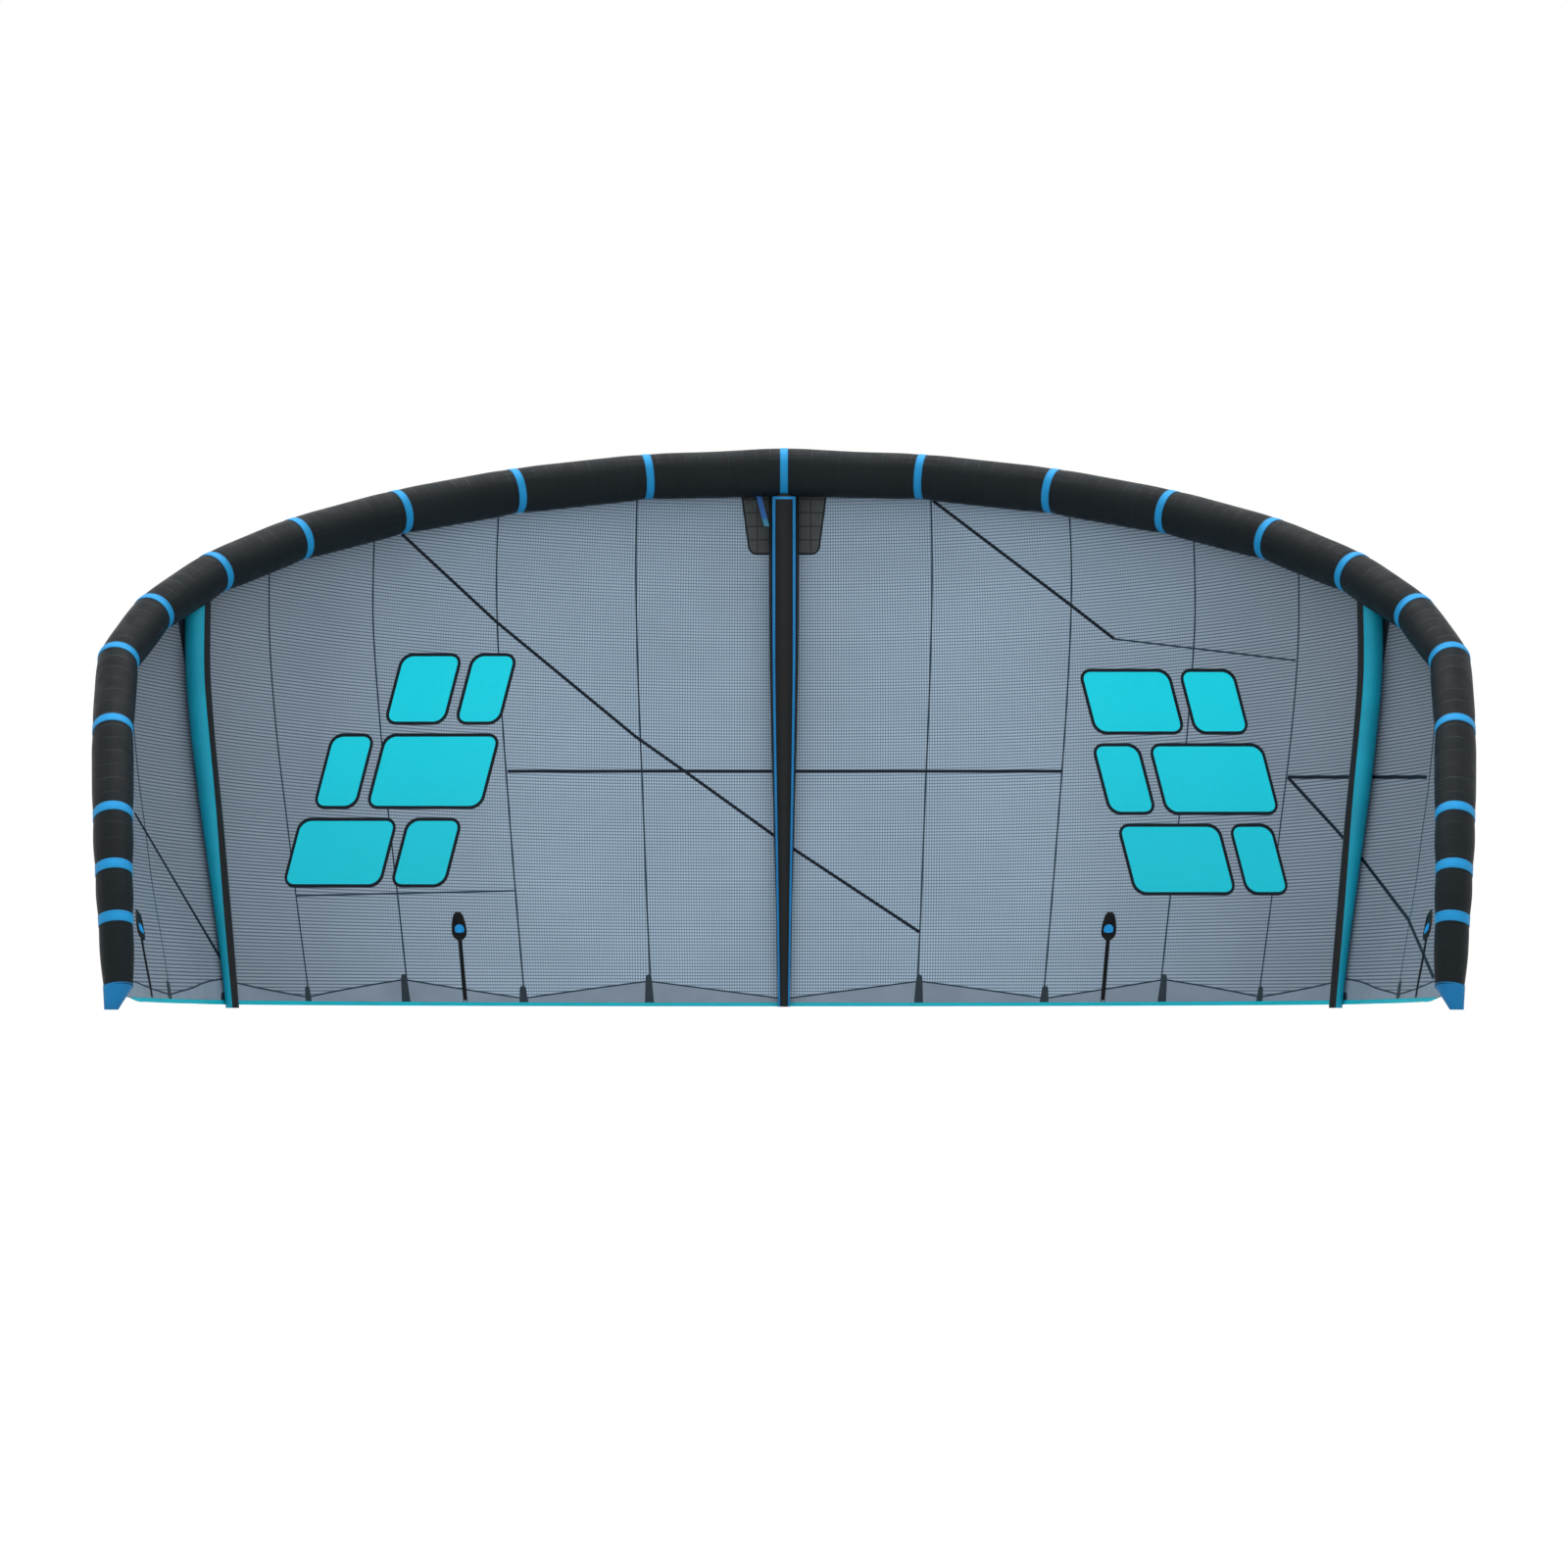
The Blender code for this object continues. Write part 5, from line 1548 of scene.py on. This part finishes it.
def makeValve():
    # On a facet of the tube between strut and canopy: Z out of the tube, Y to the pilot
    station = valve["offset"] / lengths[0]
    low, high = mirrored(onTube(station, facet)), mirrored(onTube(station, 2 * facet))
    along = (onTube(0, facet) - mirrored(onTube(1, facet))).normalized()
    out = along.cross(low - high).normalized()
    middle, towards = (low + high) / 2, out.cross(along)
    matrix = Matrix(((along.x, towards.x, out.x, middle.x), (along.y, towards.y, out.y, middle.y),
                     (along.z, towards.z, out.z, middle.z), (0, 0, 0, 1)))
    rim, neck, inner = valve["rim"] / 2, valve["neck"] / 2, valve["bore"] / 2
    stand, under = valve["stand"], valve["stand"] - valve["rimHeight"]
    turnedPiece("valveSeat", easedProfile([(rim, stand), (rim, under), (neck, under),
                                           (neck, -valve["sink"]), (inner, -valve["sink"]),
                                           (inner, stand)], valve["round"]),
                matrix, "valve", "wing", "valve_seat")
    for name in ("leadingEdgeSleeve_left", "leadingEdgeBladder"):
        bore(name, neck + valve["gap"], matrix)
    middleTurn = 1.5 * facet

    def ringPoint(turn, r):
        at, around = station + r * cos(turn) / lengths[0], middleTurn + r * sin(turn) / radii[0]
        return onTube(at, around, sleeveGrow(at, around) + valve["patchWall"])

    ring = layGrid("valvePatch", steps(0, 2 * pi, 72), steps(neck + 0.0006, valve["patch"], 6),
                   ringPoint, lambda turn, r: (r * cos(turn), r * sin(turn)), -1, True)
    thicken(ring, valve["patchWall"], 1)
    dress(ring, "dart")
    cutFlat(ring, valve["patch"] * 2, valve["patch"] * 2, restsOn=["leadingEdgeSleeve_left"])
    base, stem, air = stand + valve["gap"], inner - valve["gap"], valve["airHole"] / 2
    top, bottom = base + valve["disc"], stand - valve["plugDepth"]
    turnedPiece("valvePlug", easedProfile([(rim, top), (rim, base), (stem, base), (stem, bottom),
                                           (air, bottom), (air, top)], valve["round"]),
                matrix, "plug", "plug", "valve_plug")
    for way in (-1, 1):
        grip = addBlock("valveGrip_" + sideWord(way), valve["grip"],
                        matrix @ Matrix.Translation((way * (rim - 0.006), 0, top + 0.0009)),
                        0.0008)
        dress(grip, "plug", "plug")
    barrel, lid = valve["hinge"] / 2, valve["stopper"] / 2
    pivot = matrix @ Matrix.Translation((0, valve["hingeOffset"], top + valve["gap"] + barrel))
    disc = pivot @ Matrix.Translation((0, -valve["hingeOffset"], 0))
    wall, neck = valve["stopperWall"] - barrel, air - valve["gap"]
    profile = [(0.0, wall), (0.0055, wall - 0.0004), (0.0065, wall), (lid - 0.0008, wall),
               (lid, wall - 0.0008), (lid, -barrel + 0.0004), (lid - 0.0004, -barrel),
               (neck, -barrel), (0.0056, -barrel - 0.0026), (0.0050, -barrel - 0.0030),
               (0.0, -barrel - 0.0030)]
    turnedPiece("valveStopper", profile, disc, "stopper", "stopper",
                "valve_stopper")
    reach = valve["hingeOffset"] - lid + 0.003
    strap = addBlock("stopperStrap", (valve["hingeWidth"], reach, barrel),
                     pivot @ Matrix.Translation((0, -reach / 2, 0)), 0.0002)
    dress(strap, "stopper", "stopper")
    bpy.ops.object.select_all(action="DESELECT")
    bpy.ops.mesh.primitive_cylinder_add(vertices=32, radius=barrel, depth=valve["hingeWidth"])
    knuckle = bpy.context.object
    knuckle.name = knuckle.data.name = "stopperHinge"
    knuckle.data.transform(pivot @ Matrix.Rotation(pi / 2, 4, "Y"))
    bpy.ops.object.shade_smooth_by_angle(angle=radians(40))
    dress(knuckle, "stopper", "stopper")


makeValve()
print("tab and valve made")

# Stage
studio = {"floor": 60, "floorGlow": 1.10, "floorGlowShare": 0.85, "horizon": 0.705,
          "zenith": 1.12, "aim": (0, 0.2, 0.8),
          "soft": {"power": 165, "size": 6.0, "place": (0, 0.2, 6.4)},
          "fill": {"power": 38, "size": 3.0, "place": (0, -6.5, 1.3)}}


def makeStage():
    bpy.ops.object.select_all(action="DESELECT")
    bpy.ops.mesh.primitive_plane_add(size=studio["floor"], location=(0, 0, -0.0006))
    floor = bpy.context.object
    floor.name = "studioFloor"
    finish, tree, shader = startFinish("paleFloor", 0.9)
    shader.inputs["Base Color"].default_value = hexColour("#e9ebec")
    path = addNode(tree, "LightPath")
    seen = addNode(tree, "Math", {"operation": "MAXIMUM"},
                   {0: path.outputs["Is Camera Ray"], 1: path.outputs["Is Glossy Ray"]})
    seen = addNode(tree, "Math", {"operation": "MAXIMUM"},
                   {0: seen.outputs[0], 1: path.outputs["Is Transmission Ray"]})
    white = addNode(tree, "Emission", inputs={"Color": (1, 1, 1, 1),
                                              "Strength": studio["floorGlow"]})
    part = addNode(tree, "Math", {"operation": "MULTIPLY"},
                   {0: seen.outputs[0], 1: studio["floorGlowShare"]})
    mix = addNode(tree, "MixShader", inputs={0: part.outputs[0], 1: shader.outputs[0],
                                             2: white.outputs[0]})
    tree.links.new(mix.outputs[0], tree.nodes["Material Output"].inputs["Surface"])
    floor.data.materials.append(finish)

    world = bpy.data.worlds.new("studioLight")
    bpy.context.scene.world = world
    world.use_nodes = True
    tree = world.node_tree
    background = tree.nodes["Background"]
    path = addNode(tree, "LightPath")
    seen = addNode(tree, "Math", {"operation": "MAXIMUM"},
                   {0: path.outputs["Is Camera Ray"], 1: path.outputs["Is Transmission Ray"]})
    direction = addNode(tree, "SeparateXYZ",
                        inputs={0: addNode(tree, "TexCoord").outputs["Generated"]})
    sky = addNode(tree, "MapRange", inputs={0: direction.outputs[2], 1: 0.0, 2: 1.0,
                                            3: studio["horizon"], 4: studio["zenith"]})
    strength = addNode(tree, "Mix", {"data_type": "FLOAT"}, {0: seen.outputs[0],
                                                             2: sky.outputs[0], 3: 1.0})
    background.inputs["Color"].default_value = (1, 1, 1, 1)
    tree.links.new(strength.outputs[0], background.inputs["Strength"])

    # A soft box overhead, and a weak one on the pilot's side
    for name in ("soft", "fill"):
        lamp = bpy.data.lights.new(name + "Box", "AREA")
        lamp.energy, lamp.size = studio[name]["power"], studio[name]["size"]
        holder = bpy.data.objects.new(name + "Box", lamp)
        bpy.context.scene.collection.objects.link(holder)
        holder.location = studio[name]["place"]
        aim = Vector(studio["aim"]) - holder.location
        holder.rotation_euler = aim.to_track_quat("-Z", "Y").to_euler()


makeStage()
bpy.context.scene.view_settings.view_transform = "Standard"
print("stage set")
